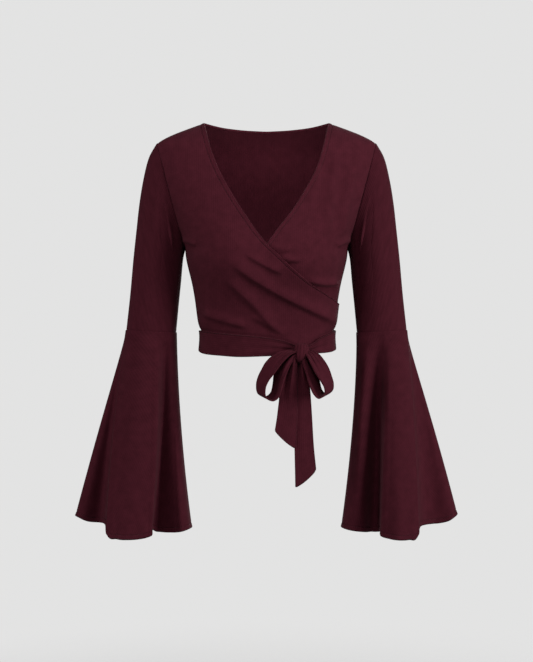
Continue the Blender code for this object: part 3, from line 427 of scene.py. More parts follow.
def angle_of(x, z, front):
    """The angle round the torso's section of the point at that x, 0 at the centre and pi / 2 at the side."""
    share = np.clip(np.abs(x) / width_at(z, front), 0, 1)
    return np.sign(x) * np.arcsin(share ** (SECTION_POWER / 2))


def armhole_angle(z, front):
    """The angle round the torso's section of the armhole's edge, or of the side seam below it."""
    return np.arccos(edge_share(z, front) ** (SECTION_POWER / 2))


def torso(angle, z, front, out=0.0):
    """A point of the torso's surface, out metres outside it."""
    power = 2 / SECTION_POWER
    x = (width_at(z, front) + out) * np.sign(angle) * np.abs(np.sin(angle)) ** power
    y = (depth_at(z, front) + out) * np.abs(np.cos(angle)) ** power
    if front:
        across = bump((np.abs(x) - BUST["x"]) / BUST["across"])
        y = y + BUST["height"] * across * bump((z - BUST["z"]) / BUST["tall"]) * np.cos(angle)
    y = np.maximum(y, PANEL_GAP / 2)
    return np.stack([x, -y if front else y, z + 0 * x], axis=-1)


def facing(place, angle, z):
    """Outward unit normals of the surface place(angle, z)."""
    turn, step = PROBE["angle"], PROBE["z"]
    left, right = [np.clip(angle + to, -np.pi / 2, np.pi / 2) for to in (-turn, turn)]
    # Under the torso's top, where its section closes to nothing
    high, middle, low = [np.minimum(z + to, to / 2 - step) for to in (step, 0.0, -step)]
    across, down = place(right, middle) - place(left, middle), place(angle, low) - place(angle, high)
    normals = unit(np.cross(across, down))
    return normals if (normals * (place(angle, middle) - TORSO_MIDDLE)).sum() > 0 else -normals


def draped(angle, z, front, layer, folds):
    """Outer points and normals of a panel of the bodice, with its folds lifted off the torso."""

    def smooth(angle, z):
        return torso(angle, z, front, layer(angle))

    def lifted(angle, z):
        plain = smooth(angle, z)
        fade = np.clip(np.cos(angle) * FOLD_FADE["side"], 0, 1)
        lift = folds_at(plain[..., 0], plain[..., 2], folds) * fade
        degrees = np.degrees(angle) if front else (180 - np.degrees(angle) + 90) % 360 - 90
        from_tie = z - curve(TIE_BAND["angle"], TIE_BAND["top"], degrees) - TIE_PULL["above"]
        lift = lift - TIE_PULL["in"] * bump(from_tie / TIE_PULL["wide"])
        return plain + facing(smooth, angle, z) * lift[..., None]

    return lifted(angle, z), facing(lifted, angle, z)


def folds_at(x, z, folds):
    """How far the folds lift the cloth at (x, z): each is a ridge that falls steeply to its crease."""
    lift = np.zeros_like(x)
    for fold in folds:
        s = np.linspace(0, 1, FOLD_LINE["points"])[:, None]
        line = fold["start"] * (1 - s) ** 2 + 2 * fold["bend"] * s * (1 - s) + fold["end"] * s**2
        reach = FOLD_LINE["reach"] * fold["above"] + FOLD_FADE["past"]
        low, high = line.min(axis=0) - reach, line.max(axis=0) + reach
        near = (x > low[0]) & (x < high[0]) & (z > low[1]) & (z < high[1])
        away = np.stack([x[near], z[near]], axis=-1)[:, None, :] - line
        nearest = np.argmin((away**2).sum(-1), axis=-1)
        along = np.gradient(line, axis=0)[nearest]
        off = away[np.arange(len(nearest)), nearest]
        above = unit(np.stack([-along[:, 1], along[:, 0]], axis=-1))
        above = above * np.sign(above[:, 1:2])
        height = (off * above).sum(-1)
        past = (off * unit(along)).sum(-1)
        width = np.where(height < fold["above"] / 2, fold["below"], fold["above"])
        share = s[nearest, 0] + past / np.linalg.norm(np.diff(line, axis=0), axis=-1).sum()
        ends = smoothstep(0, FOLD_FADE["start"], share) * smoothstep(0, FOLD_FADE["end"], 1 - share)
        ends = ends * bump(past / FOLD_FADE["past"])
        lift[near] += fold["height"] * ends * bump((height - fold["above"] / 2) / width)
    return lift


def section_lengths(front):
    """A function of (angle, z) that gives how far round the torso's section that angle is from its middle."""
    heights = np.linspace(SECTIONS["low"], SECTIONS["high"], SECTIONS["rows"])
    angles = np.linspace(0, np.pi / 2, SECTIONS["columns"])
    reached = distances(torso(angles[None, :], heights[:, None], front), 1)

    def read(angle, z):
        row = np.clip((z - heights[0]) / (heights[1] - heights[0]), 0, len(heights) - 1.001)
        column = np.clip(np.abs(angle) / (angles[1] - angles[0]), 0, len(angles) - 1.001)
        r, c = row.astype(int), column.astype(int)
        upper, lower = [between(reached[k, c], reached[k, c + 1], column - c) for k in (r, r + 1)]
        return np.sign(angle) * between(upper, lower, row - r)

    return read


# ---------------------------------------------------------------- shells
def normals_of(grid, closed):
    """Outward unit normals of a grid of points whose concave side faces its middle."""
    across = np.roll(grid, -1, axis=1) - np.roll(grid, 1, axis=1) if closed else np.gradient(grid, axis=1)
    normals = unit(np.cross(across, np.gradient(grid, axis=0)))
    outward = (normals * (grid - grid.mean(axis=(0, 1)))).sum()
    return normals if outward > 0 else -normals


def onto_plane(normals, axis):
    axis = unit(np.asarray(axis, float))
    return unit(normals - (normals @ axis)[..., None] * axis)


def joined(points, axis):
    """A closed line or grid with its first points again at its end."""
    return np.concatenate([points, np.take(points, [0], axis=axis)], axis=axis)


def shell(name, outer, inner, flat, closed=False, round_edges=("first", "last", "left", "right")):
    """A piece of cloth between two grids of points, with rounded free edges.

    flat holds each point's place in the flat cloth. On a closed grid, which joins its last column to its
    first, flat has one column more. round_edges names the free edges; a seam's edge stays square.
    """
    count = outer[..., 0].size
    index = np.arange(count).reshape(outer.shape[:2])
    if closed:
        index = joined(index, 1)
    spot = np.arange(index.size).reshape(index.shape)
    points = [outer.reshape(-1, 3), inner.reshape(-1, 3)]
    quads, places = [], []

    def patch(corners, uv, turned):
        for grid, found in ((corners, quads), (uv, places)):
            around = [grid[:-1, :-1], grid[:-1, 1:], grid[1:, 1:], grid[1:, :-1]]
            found.append(np.stack([a.ravel() for a in (around[::-1] if turned else around)], axis=-1))

    patch(index, spot, False)
    patch(index + count, spot, True)
    edges = [("first", np.s_[0], np.s_[1], True), ("right", np.s_[:, -1], np.s_[:, -2], True),
             ("last", np.s_[-1], np.s_[-2], False), ("left", np.s_[:, 0], np.s_[:, 1], False)]
    turns = np.pi * np.arange(1, EDGE_STEPS + 1)[:, None, None] / (EDGE_STEPS + 1)
    total = 2 * count
    for edge, at, beside, turned in edges[:: 2 if closed else 1]:
        line, away = index[at], unit(outer[at] - outer[beside])
        if closed:
            away = joined(away, 0)
        middle, half = (points[0][line] + points[1][line]) / 2, (points[0][line] - points[1][line]) / 2
        reach = np.linalg.norm(half, axis=-1, keepdims=True) * (EDGE_ROUND if edge in round_edges else 0.0)
        rings = middle + half * np.cos(turns) + away * reach * np.sin(turns)
        ids = total + np.arange(rings[..., 0].size).reshape(rings.shape[:2])
        if closed:
            ids[:, -1] = ids[:, 0]
        strip_ids = np.concatenate([line[None], ids, line[None] + count])
        patch(strip_ids, np.repeat(spot[at][None], len(strip_ids), axis=0), not turned)
        points.append(rings.reshape(-1, 3))
        total += ids.size
    uv = flat.reshape(-1, 2)[np.concatenate(places)]
    return meshed(name, np.concatenate(points), np.concatenate(quads), uv)


def meshed(name, points, quads, uv):
    """A mesh piece of those corners and faces, facing outwards, with its flat cloth as a UV map."""
    used, renumbered = np.unique(quads, return_inverse=True)
    mesh = bpy.data.meshes.new(name)
    mesh.from_pydata(points[used].tolist(), [], renumbered.reshape(-1, 4).tolist())
    mesh.uv_layers.new(name="cloth").data.foreach_set("uv", uv.astype(np.float32).ravel())
    mesh.shade_smooth()
    mesh.update()
    a, b, c, d = points[quads.T]
    if (a * (np.cross(b, c) + np.cross(c, d))).sum() < 0:
        mesh.flip_normals()
    return placed(mesh, bpy.data.materials.get("wine_knit_cloth") or knit())


def placed(mesh, material):
    """A new object of that mesh in the scene."""
    mesh.materials.append(material)
    piece = bpy.data.objects.new(mesh.name, mesh)
    bpy.context.scene.collection.objects.link(piece)
    return piece


def settle(piece, node, *groups):
    """The piece stands for that CAD node, which it hides, and hangs from the root. Its groups are for the
    lights.
    """
    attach(piece, "root")
    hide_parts(node)
    for group in groups:
        GROUPS[group].objects.link(piece)
    return piece


def on_band(distance):
    """1 on a turned hem, out to its line of stitches, and 0 past it."""
    return smoothstep(HEM_BAND + HEM["step"], HEM_BAND - HEM["step"], distance)


def hem_relief(distance):
    """How far a turned and stitched hem stands out, at that distance from its edge."""
    sunk = HEM["sunk"] * bump((distance - HEM_BAND) / HEM["line"])
    return HEM["raised"] * on_band(distance) + HEM["rolled"] * bump(distance / HEM["roll"]) - sunk


def hem_thickness(distance):
    return SHELL * (1 + HEM["turned"] * on_band(distance))


def seam_relief(distance, depth=SEAM["sunk"]):
    """A seam pulls both its pieces in a little."""
    return -depth * bump(distance / SEAM["wide"])


# ---------------------------------------------------------------- materials
def node_of(tree, kind, inputs=None, **settings):
    """A new node, with settings of its own and a value or a link for each of those inputs."""
    node = tree.nodes.new(kind)
    for key, value in settings.items():
        setattr(node, key, value)
    for key, value in (inputs or {}).items():
        if isinstance(value, bpy.types.NodeSocket):
            tree.links.new(value, node.inputs[key])
        else:
            node.inputs[key].default_value = value
    return node


def noise_of(tree, **inputs):
    return node_of(tree, "ShaderNodeTexNoise", inputs).outputs["Fac"]


def new_material(name):
    material = bpy.data.materials.new(name)
    material.use_nodes = True
    return material, material.node_tree, material.node_tree.nodes["Principled BSDF"]


def colour_between(tree, shader, share, colours):
    """The base colour goes from the first of those colours to the second as share goes from 0 to 1."""
    mix = node_of(tree, "ShaderNodeMix", {"Factor": share, 6: colours[0], 7: colours[1]}, data_type="RGBA")
    tree.links.new(mix.outputs[2], shader.inputs["Base Color"])


def knit():
    """The wine-red rib knit: ribs along v with small slanting stitches on them, a heathered colour and
    painted rib shade.
    """
    material, tree, shader = new_material("wine_knit_cloth")

    def sums(operation, *values):
        return node_of(tree, "ShaderNodeMath", dict(enumerate(values)), operation=operation).outputs[0]

    where = node_of(tree, "ShaderNodeUVMap", uv_map="cloth").outputs[0]
    split = node_of(tree, "ShaderNodeSeparateXYZ", {0: where})
    phase = sums("MULTIPLY", split.outputs["X"], 2 * np.pi / RIB_PITCH)
    rib = sums("MULTIPLY_ADD", sums("COSINE", phase), 0.5, 0.5)
    slant = sums("MULTIPLY", sums("ABSOLUTE", sums("SINE", phase)), COURSE_SLANT)
    course = sums("MULTIPLY_ADD", split.outputs["Y"], 2 * np.pi / COURSE_PITCH, slant)
    height = sums("MULTIPLY", rib, sums("MULTIPLY_ADD", sums("COSINE", course), COURSE_RELIEF, 1.0))
    fibres = node_of(tree, "ShaderNodeMapping", {"Vector": where, "Scale": (190.0, 620.0, 1.0)}).outputs[0]
    heather = noise_of(tree, Vector=fibres, Scale=1.0, Detail=4.0, Roughness=0.65)
    clouds = noise_of(tree, Vector=where, Scale=70.0, Detail=3.0)
    tone_and_groove_shade = TONE_AND_GROOVE_SHADE["least"]
    # The rib's share is painted shade, darker in the grooves; heather and clouds are the knit's own uneven
    # tone
    for share, name in ((clouds, "clouds"), (heather, "heather"), (rib, "rib")):
        tone_and_groove_shade = sums("MULTIPLY_ADD", share, TONE_AND_GROOVE_SHADE[name], tone_and_groove_shade)
    colour_between(tree, shader, tone_and_groove_shade, KNIT_COLOURS)
    lifted = node_of(tree, "ShaderNodeBump", {"Strength": 0.7, "Distance": 0.00020, "Height": height})
    tree.links.new(lifted.outputs[0], shader.inputs["Normal"])
    shader.inputs["Roughness"].default_value = 0.92
    shader.inputs["Specular IOR Level"].default_value = 0.12
    shader.inputs["Sheen Weight"].default_value = 0.04
    shader.inputs["Sheen Roughness"].default_value = 0.45
    shader.inputs["Sheen Tint"].default_value = (1.0, 0.62, 0.66, 1.0)
    return material


def thread():
    """The sewing thread, a shade darker than the knit; inside the back's neck hem its dark line is painted
    shade.
    """
    material, tree, shader = new_material("wine_thread_and_line_shade")
    place = node_of(tree, "ShaderNodeTexCoord").outputs["Object"]
    twist = noise_of(tree, Vector=place, Scale=1800.0, Detail=1.0)
    colour_between(tree, shader, twist, THREAD_AND_LINE_SHADE_COLOURS)
    shader.inputs["Roughness"].default_value = 0.6
    return material


# ---------------------------------------------------------------- bodice
def own_side(rows, marks):
    """Turn round the armhole and z of each row's start, from the shoulder tip down to the hem."""
    turn = np.pi * np.minimum(marks / ARMHOLE_ROWS, 1)
    beside = between(-SHOULDER_DROP, -UNDERARM_DROP, (1 - np.cos(turn)) / 2)
    below = np.clip((marks - ARMHOLE_ROWS) / (rows - ARMHOLE_ROWS), 0, 1)
    return turn, beside + (UNDERARM_DROP - HEM_DROP) * below


def even_shares(points, count):
    """Where to divide a line of points, as shares of it, so that its parts are about as long and as bent."""
    steps = np.diff(points, axis=0)
    length = np.linalg.norm(steps, axis=-1)
    bend = np.linalg.norm(np.diff(unit(steps), axis=0), axis=-1)
    bend = np.append(bend, bend[-1])
    reached = np.append(0, np.cumsum(length / length.sum() + bend / max(bend.sum(), 1e-9)))
    shares = np.linspace(0, 1, len(points))
    return np.interp(np.linspace(0, 1, count + 1), reached / reached[-1], shares)


def shoulder_facing(side):
    """The direction square to the shoulder seam, up and out."""
    return unit(np.array([side * SHOULDER_DROP, 0.0, (SHOULDER_WIDTH - NECK_WIDTH) / 2]))


def far_side(edge, rows, marks, side):
    """Angle and z of each row's end, down the neck edge to the far side seam and along it to the hem."""
    z = np.linspace(0, edge["z"][-1], EDGE_POINTS)
    angle = angle_of(curve(edge["z"], edge["x"], z), z, True)
    angle[0] = side * np.pi / 2
    at_seam = np.flatnonzero(-side * angle > np.pi / 2 - 1e-6)[0]
    z, angle = z[: at_seam + 1], angle[: at_seam + 1]
    whole = rows["to_far_seam"]
    shares = even_shares(torso(angle, z, True), whole)
    share = np.interp(marks, np.arange(whole + 1), shares) * at_seam
    below = np.clip((marks - whole) / (rows["all"] - whole), 0, 1)
    counted = np.arange(len(z))
    return np.interp(share, counted, angle), np.interp(share, counted, z) + (-HEM_DROP - z[-1]) * below


def seat_on_armhole(points, normals, turn, column, side):
    """Puts one column of a bodice piece on the armhole, with its wall clear of the sleeve's."""
    beside = np.abs(turn) < np.pi - 1e-9
    edge = armhole(turn[beside], side) - armhole_axis(side) * SEAM_GAP / 2
    edge[0, 1] = -PANEL_GAP / 2 * np.sign(turn[1])
    points[beside, column] = edge
    towards = np.minimum(normals[beside, column] @ armhole_axis(side), 0)
    normals[beside, column] = unit(normals[beside, column] - towards[:, None] * armhole_axis(side))
    normals[~beside, column] = onto_plane(normals[~beside, column], (0, 1, 0))


def over_layer(angle):
    """The over front lies on the torso at its own side, and outside the under front at the far side."""
    return (CLOTH + LAYER_GAP) * smoothstep(-np.pi / 2, np.pi / 2, angle)


def under_layer(angle):
    return over_layer(angle) - CLOTH - LAYER_GAP


def build_front(name, edge, side, rows, folds, layer):
    """A front, from its own armhole and side seam to its neck edge and the far seam."""
    marks = np.concatenate([AT_SHOULDER, finer(np.arange(1, rows["all"] + 1), FINER)])
    turn, own_z = own_side(rows["all"], marks)
    own_angle = side * armhole_angle(own_z, True)
    far_angle, far_z = far_side(edge, rows, marks, side)
    ends = (own_angle, far_angle), (own_z, far_z)

    def place(u):
        return [between(own[:, None], far[:, None], u) for own, far in ends]

    u = np.linspace(0, 1, ROW_POINTS)
    reached = distances(torso(*place(u[None, :]), True), 1)
    wanted = spaced(reached[:, -1], AT_SEAM, AT_HEM, FRONT_COLUMNS)
    u = np.stack([np.interp(at, line, u) for at, line in zip(wanted, reached, strict=True)])
    angle, z = place(u)
    grid, normals = draped(angle, z, True, layer, folds)
    normals[0] = shoulder_facing(side)
    on_neck = marks <= rows["to_far_seam"]
    normals[~on_neck, -1] = onto_plane(normals[~on_neck, -1], (0, 1, 0))
    seat_on_armhole(grid, normals, turn, 0, side)

    from_neck = reached[:, -1:] - wanted
    none, full = NECK_END["rows"]
    hemmed = smoothstep(rows["to_far_seam"] + none, rows["to_far_seam"] + full, marks)[:, None]
    from_far = np.where(on_neck[:, None], 1.0, from_neck)
    seams = seam_relief(wanted) + seam_relief(from_far) + seam_relief(distances(grid, 0))
    outer = grid + normals * (hem_relief(from_neck) * hemmed + seams)[..., None]
    thickness = SHELL + (hem_thickness(from_neck) - SHELL) * hemmed
    flat = np.stack([section_lengths(True)(angle, z), z], axis=-1)
    piece = shell(name, outer, grid - normals * thickness[..., None], flat, round_edges=("last", "right"))
    column = -1 - AT_STITCH
    return piece, (outer[on_neck, column][STITCHED], normals[on_neck, column][STITCHED])


def build_back():
    """The back, one panel between the armholes, with the shoulder seams and the neckline as its top edge."""
    marks = np.concatenate([finer([0, 1, 2, 3], 2 * FINER)[:-1], finer(np.arange(3, BACK_ROWS + 1), FINER)])
    turn, side_z = own_side(BACK_ROWS, marks)
    side_angle = armhole_angle(side_z, False)
    neck_share = BACK_NECK_COLUMNS / BACK_COLUMNS
    on_top = np.where(marks < ARMHOLE_ROWS, (1 + np.cos(turn)) / 2, 0)[:, None]

    def place(u):
        neck_x = NECK_WIDTH / 2 * np.clip(np.abs(u) / neck_share, 0, 1)
        neck_z = curve(BACK_NECK["x"], BACK_NECK["z"], neck_x)
        neck_angle = angle_of(np.sign(u) * neck_x, neck_z, False)
        off_neck = np.clip((np.abs(u) - neck_share) / (1 - neck_share), 0, 1)
        top_z = np.where(off_neck > 0, -SHOULDER_DROP * off_neck, neck_z)
        top_angle = np.where(off_neck > 0, np.sign(u) * np.pi / 2, neck_angle)
        low_z = np.where(on_top > 0, -UNDERARM_DROP, side_z[:, None])
        z = between(low_z, top_z, on_top)
        angle = side_angle[:, None] * (u * (1 - on_top) + top_angle / (np.pi / 2) * on_top)
        return angle, z

    inner_marks = finer(np.linspace(-1, 1, BACK_COLUMNS + 1), BACK_FINER)
    u = np.concatenate([inner_marks, 1 - AT_BACK_SIDE, AT_BACK_SIDE - 1])
    u = np.unique(np.round(u, 6))[None, :]
    angle, z = place(u)
    grid, normals = draped(angle, z, False, lambda _: 0.0, BACK_FOLDS)
    for column, side in ((0, -1), (-1, 1)):
        normals[0, side * u[0] > neck_share - 1e-6] = shoulder_facing(side)
        seat_on_armhole(grid, normals, -turn, column, side)

    across, down = distances(grid, 1), distances(grid, 0)
    none, full = NECK_END["shares"]
    on_neck = smoothstep(neck_share + none, neck_share + full, np.abs(u))
    lift = seam_relief(across) + seam_relief(across[:, -1:] - across)
    lift = lift + hem_relief(down) * on_neck + seam_relief(down) * (1 - on_neck)
    thickness = SHELL + (hem_thickness(down) - SHELL) * on_neck
    thickness = thickness - NECK_LINE["sunk"] * bump((down - HEM_BAND) / NECK_LINE["wide"]) * on_neck
    flat = np.stack([section_lengths(False)(angle, z), z], axis=-1)
    outer, inner = grid + normals * lift[..., None], grid - normals * thickness[..., None]
    piece = shell("back_cloth", outer, inner, flat, round_edges=("first", "last"))
    # The neck hem's stitches, outside and inside the back; inside, their dark thread is painted shade along
    # the hem's line
    columns = np.flatnonzero(np.abs(u[0]) < neck_share + NECK_END["stitches"])
    rows = np.argmin(np.abs(down[:, columns] - HEM_BAND), axis=0)
    out = normals[rows, columns]
    return piece, [(outer[rows, columns], out), (inner[rows, columns], -out)]


# ---------------------------------------------------------------- sleeves
def sleeve_ring(step, turn, side):
    """Points of the sleeve's rings: step counts down the table, and turn goes as round the armhole."""
    knots = np.arange(len(SLEEVE_RINGS))
    read = {name: curve(knots, SLEEVE_RINGS[name], step) for name in SLEEVE_RINGS.dtype.names}

    def across(axis):
        outer, inner = read["outer_" + axis], read["inner_" + axis]
        return (outer + inner) / 2 + (outer - inner) / 2 * np.cos(turn)

    depth = np.where(np.sin(turn) > 0, read["front"], read["back"])
    return np.stack([side * across("x"), read["y"] - depth * forward(turn), across("z")], axis=-1)


def cuff_axis(side):
    """The normal of the plane in which the sleeve and its flounce are joined, towards the flounce."""
    last = SLEEVE_RINGS[-1]
    across, rise = last["outer_x"] - last["inner_x"], last["outer_z"] - last["inner_z"]
    return unit(np.array([side * rise, 0.0, -across]))


def build_sleeve(name, side):
    """The sleeve is a tube from the armhole to the elbow, with its seam allowances tucked in at both ends."""
    turn = np.linspace(0, 2 * np.pi, SLEEVE_GRID["round"], endpoint=False)
    last = len(SLEEVE_RINGS) - 1
    ends = AT_SEAM / SLEEVE_STEP
    inner = np.linspace(ends[-1], last - ends[-1], SLEEVE_GRID["down"])
    step = np.concatenate([ends[:-1], inner, last - ends[::-1][1:]])[:, None]
    grid = sleeve_ring(step, turn[None, :], side)
    normals = normals_of(grid, True)
    normals[-1] = onto_plane(normals[-1], cuff_axis(side))
    normals[0] = onto_plane(normals[0], armhole_axis(side))
    grid[0] += armhole_axis(side) * SEAM_GAP / 2
    under = grid[0] - normals[0] * (SHELL + ALLOWANCE["gap"])
    inside = [under - armhole_axis(side) * reach for reach in ALLOWANCE["rows"]]
    under = grid[-1] - normals[-1] * CUFF_ALLOWANCE["gap"]
    tucked = [under + cuff_axis(side) * reach for reach in CUFF_ALLOWANCE["rows"]]
    grid = np.concatenate([inside, grid, tucked])
    added = (len(inside), len(tucked))
    normals = np.pad(normals, (added, (0, 0), (0, 0)), mode="edge")
    level = np.pad(step, (added, (0, 0)), mode="edge")
    down = distances(grid, 0)
    down = down - down[len(inside)]
    lift = seam_relief(down) + seam_relief(down[-1 - len(tucked)] - down, SEAM["cuff"])
    for fold in SLEEVE_FOLDS:
        share = np.clip((level - fold["from"]) / (fold["to"] - fold["from"]), 0, 1)
        place = between(*fold["turn"], share)
        along = smoothstep(0, SLEEVE_FADE["start"], share) * smoothstep(0, SLEEVE_FADE["end"], 1 - share)
        lift = lift - fold["deep"] * along * bump((np.degrees(turn) - place) / fold["spread"])
    mean_round = distances(joined(grid, 1), 1)[:, -1].mean()
    fallen = joined(distances(grid, 0), 1)
    across = np.append(turn, 2 * np.pi) / (2 * np.pi) * mean_round
    flat = np.stack([np.broadcast_to(across, fallen.shape), -fallen], axis=-1)
    outer = grid + normals * lift[..., None]
    return shell(name, outer, grid - normals * SHELL, flat, closed=True, round_edges=())


def build_flounce(name, side, hems, bellies):
    """The flounce is a flared tube of ruled lines from its seam to its hem, where its folds are deepest."""
    turn = np.linspace(0, 2 * np.pi, FLOUNCE_GRID["round"], endpoint=False)
    degrees = np.degrees(turn)
    seam = sleeve_ring(np.array(float(len(SLEEVE_RINGS) - 1)), turn, side)
    seam = seam + unit(seam - seam.mean(axis=0)) * FLOUNCE["ease"] + cuff_axis(side) * SEAM_GAP / 2
    thrice = np.concatenate([hems["turn"] - 360, hems["turn"], hems["turn"] + 360])
    read = {column: curve(thrice, np.tile(hems[column], 3), degrees) for column in ("out", "forward", "z")}
    hem = np.stack([side * (FLOUNCE["x"] + read["out"]), FLOUNCE["y"] - read["forward"], read["z"]], axis=-1)
    long = FLOUNCE["long"]
    down = spaced(np.array([long]), AT_SEAM, AT_HEM, FLOUNCE_GRID["down"])[0][:, None, None] / long
    out = np.stack([side * np.cos(turn), -np.sin(turn), 0 * turn], axis=-1)
    towards_body = np.array([-side, 0.0, 0.0])
    bow = 0.0
    for belly in bellies:
        near = bump(((degrees - belly["turn"] + 180) % 360 - 180) / belly["spread"])[:, None]
        bow = bow + (out * belly["out"] + towards_body * belly["in"]) * near
    grid = between(seam, hem, down) + bow * 4 * down * (1 - down)
    normals = normals_of(grid, True)
    normals[0] = onto_plane(normals[0], cuff_axis(side))
    fallen = distances(grid, 0)
    from_hem = fallen[-1:] - fallen
    lift = seam_relief(fallen, SEAM["cuff"]) + hem_relief(from_hem)
    outer = grid + normals * lift[..., None]
    inner = grid - normals * hem_thickness(from_hem)[..., None]

    widening = (FLOUNCE["hem"] - FLOUNCE["seam"]) / long
    round_hem = distances(joined(hem, 0), 0)
    sector = (round_hem / round_hem[-1] - 0.5) * widening
    reach = FLOUNCE["seam"] / widening + joined(fallen, 1)
    flat = np.stack([reach * np.sin(sector), -reach * np.cos(sector)], axis=-1)
    piece = shell(name, outer, inner, flat, closed=True, round_edges=("last",))
    return piece, (joined(outer[-1 - AT_STITCH], 0), joined(normals[-1 - AT_STITCH], 0))


# ---------------------------------------------------------------- waist tie and bow
def build_tie():
    """The tie lies round the waist over the bodice's hem, and gathers to a narrow band behind the knot."""
    degrees = np.linspace(-90, 270, TIE_GRID["round"], endpoint=False)
    top, bottom = [curve(TIE_BAND["angle"], TIE_BAND[edge], degrees) for edge in ("top", "bottom")]
    down = np.linspace(0, 1, TIE_GRID["down"])[:, None]
    z = between(top, bottom, down)
    front = degrees <= 90
    angle = np.radians(np.where(front, degrees, 180 - degrees)) + 0 * down
    over = over_layer(angle) * np.where(front, 1.0, smoothstep(*TIE_OFF_LAYERS, degrees))
    near_knot = bump((degrees - TIE_GATHER["angle"]) / TIE_GATHER["spread"])
    pleats = TIE_GATHER["height"] * near_knot * (1 + np.cos(2 * np.pi * TIE_GATHER["pleats"] * down)) / 2
    out = over + TIE_GAP + TIE_CLOTH + pleats
    outer, inner = [
        np.where(front[None, :, None], torso(angle, z, True, reach), torso(angle, z, False, reach))
        for reach in (out, out - TIE_CLOTH)
    ]
    middle = distances(outer, 1)[TIE_GRID["down"] // 2]
    along = np.append(middle, middle[-1] + TIE_STEP)
    fallen = joined(distances(outer, 0), 1)
    flat = np.stack([-fallen, np.broadcast_to(along, fallen.shape)], axis=-1)
    return shell("waist_tie_cloth", outer, inner, flat, closed=True)


def build_knot():
    """The knot is one turn of the tie, gathered into pleats, tapering to its foot."""
    rise = np.linspace(0, np.pi, KNOT_GRID["down"])[1:-1, None]
    turn = np.linspace(0, 2 * np.pi, KNOT_GRID["round"], endpoint=False)[None, :]
    place = np.array([KNOT["x"], KNOT["y"], KNOT["z"]])
    low = (1 - np.cos(rise)) / 2
    ring = np.sin(rise) ** (KNOT["square"] + KNOT["taper"] * low)
    wave = np.cos(KNOT["pleats"] * turn + KNOT["pleat_turn"] * low) * np.sin(rise)
    wave = wave * (1 - KNOT["pleat_fade"] * low)
    ring = ring * (1 + KNOT["pleat_depth"] * wave)

    def wrapped(inset):
        x = (KNOT["half_width"] - inset) * ring * np.cos(turn) * (KNOT["wide"] - KNOT["narrows"] * low)
        y = (KNOT["half_depth"] - inset) * ring * np.sin(turn)
        z = (KNOT["half_height"] - inset) * np.cos(rise) + 0 * turn
        return np.stack([x - KNOT["lean"] * low**2, y, z], axis=-1) + place

    across = np.append(turn[0], 2 * np.pi) * KNOT["half_width"]
    flat = np.stack([across + 0 * rise, -KNOT["half_height"] * rise + 0 * across], axis=-1)
    return shell("bow_knot_cloth", wrapped(0.0), wrapped(TIE_CLOTH), flat, closed=True)


def strip(name, grid, folds):
    """A strip of the tie's double cloth about that grid, whose columns go across it and rows along it."""
    along = distances(grid, 0)
    across = np.linspace(0, 1, grid.shape[1])[None, :]
    for fold in folds:
        present = smoothstep(fold["gone"], fold["full"], along)
        grid[..., 1] -= fold["high"] * present * bump((across - fold["across"]) / fold["spread"])
    half = normals_of(grid, False) * TIE_CLOTH / 2
    along, across = distances(grid, 0), distances(grid, 1)
    flat = np.stack([across, along[:, grid.shape[1] // 2, None] + 0 * across], axis=-1)
    return shell(name, grid + half, grid - half, flat)


def read_along(rows, count):
    """Each column of a table of sections, as smooth curves read at that many places."""
    knots = np.arange(len(rows))
    step = np.linspace(0, knots[-1], count)
    return {column: curve(knots, rows[column], step)[:, None] for column in rows.dtype.names}


def build_loop(name, rows, side, folds):
    """A loop follows its line out of the knot and back, with the strip's width square to the line."""
    read = read_along(rows, LOOP_GRID["along"])
    middle = np.concatenate([read[axis] for axis in "xyz"], axis=-1)
    turned = read["turned"]
    lean = np.concatenate([-side * turned, -np.sqrt(1 - turned**2), 0 * turned - LOOP_TILT], axis=-1)
    across = np.linspace(-0.5, 0.5, LOOP_GRID["across"])
    width = (read["width"] * unit(lean))[:, None]
    return strip(name, middle[:, None] + across[None, :, None] * width, folds)


def build_tail(name, rows, folds):
    """A tail hangs from the knot, its cut end curved out with rounded corners."""
    read = read_along(rows, TAIL_GRID["along"])
    across = np.linspace(0, 1, TAIL_GRID["across"])[None, :]
    x = between(read["left_x"], read["right_x"], across)
    z = between(read["left_z"], read["right_z"], across)
    at_end = smoothstep(TAIL_END["start"], 1.0, np.linspace(0, 1, TAIL_GRID["along"]))[:, None]
    z = z - TAIL_END["bulge"] * np.sin(np.pi * across) * at_end
    corners = TAIL_END["left"] * bump(across / TAIL_END["corner"]) + bump((1 - across) / TAIL_END["corner"])
    z = z + TAIL_END["tip"] * corners * at_end**2
    return strip(name, np.stack([x, read["y"] + 0 * across, z], axis=-1), folds)


# ---------------------------------------------------------------- stitches
def one_stitch(middle, reached, line, normals):
    """Rings of points of the stitch at that distance along a line of points, which lies on the cloth."""
    at, girth = STITCH_RINGS["at"][:, None], STITCH_RINGS["girth"][:, None, None]
    around = np.linspace(0, 2 * np.pi, STITCH["sides"], endpoint=False)[:, None]
    ends = middle + at[:, 0] * STITCH["length"] / 2
    spine = np.stack([np.interp(ends, reached, line[:, k]) for k in range(3)], axis=-1)
    out = unit(np.array([np.interp(middle, reached, normals[:, k]) for k in range(3)]))
    beside = unit(np.cross(unit(spine[-1] - spine[0]), out))
    ring = np.cos(around) * beside + np.sin(around) * out
    spine = spine + out * (STITCH["high"] - STITCH["bowed"] * at**2) * STITCH["radius"]
    return spine[:, None] + ring[None] * girth * STITCH["radius"]


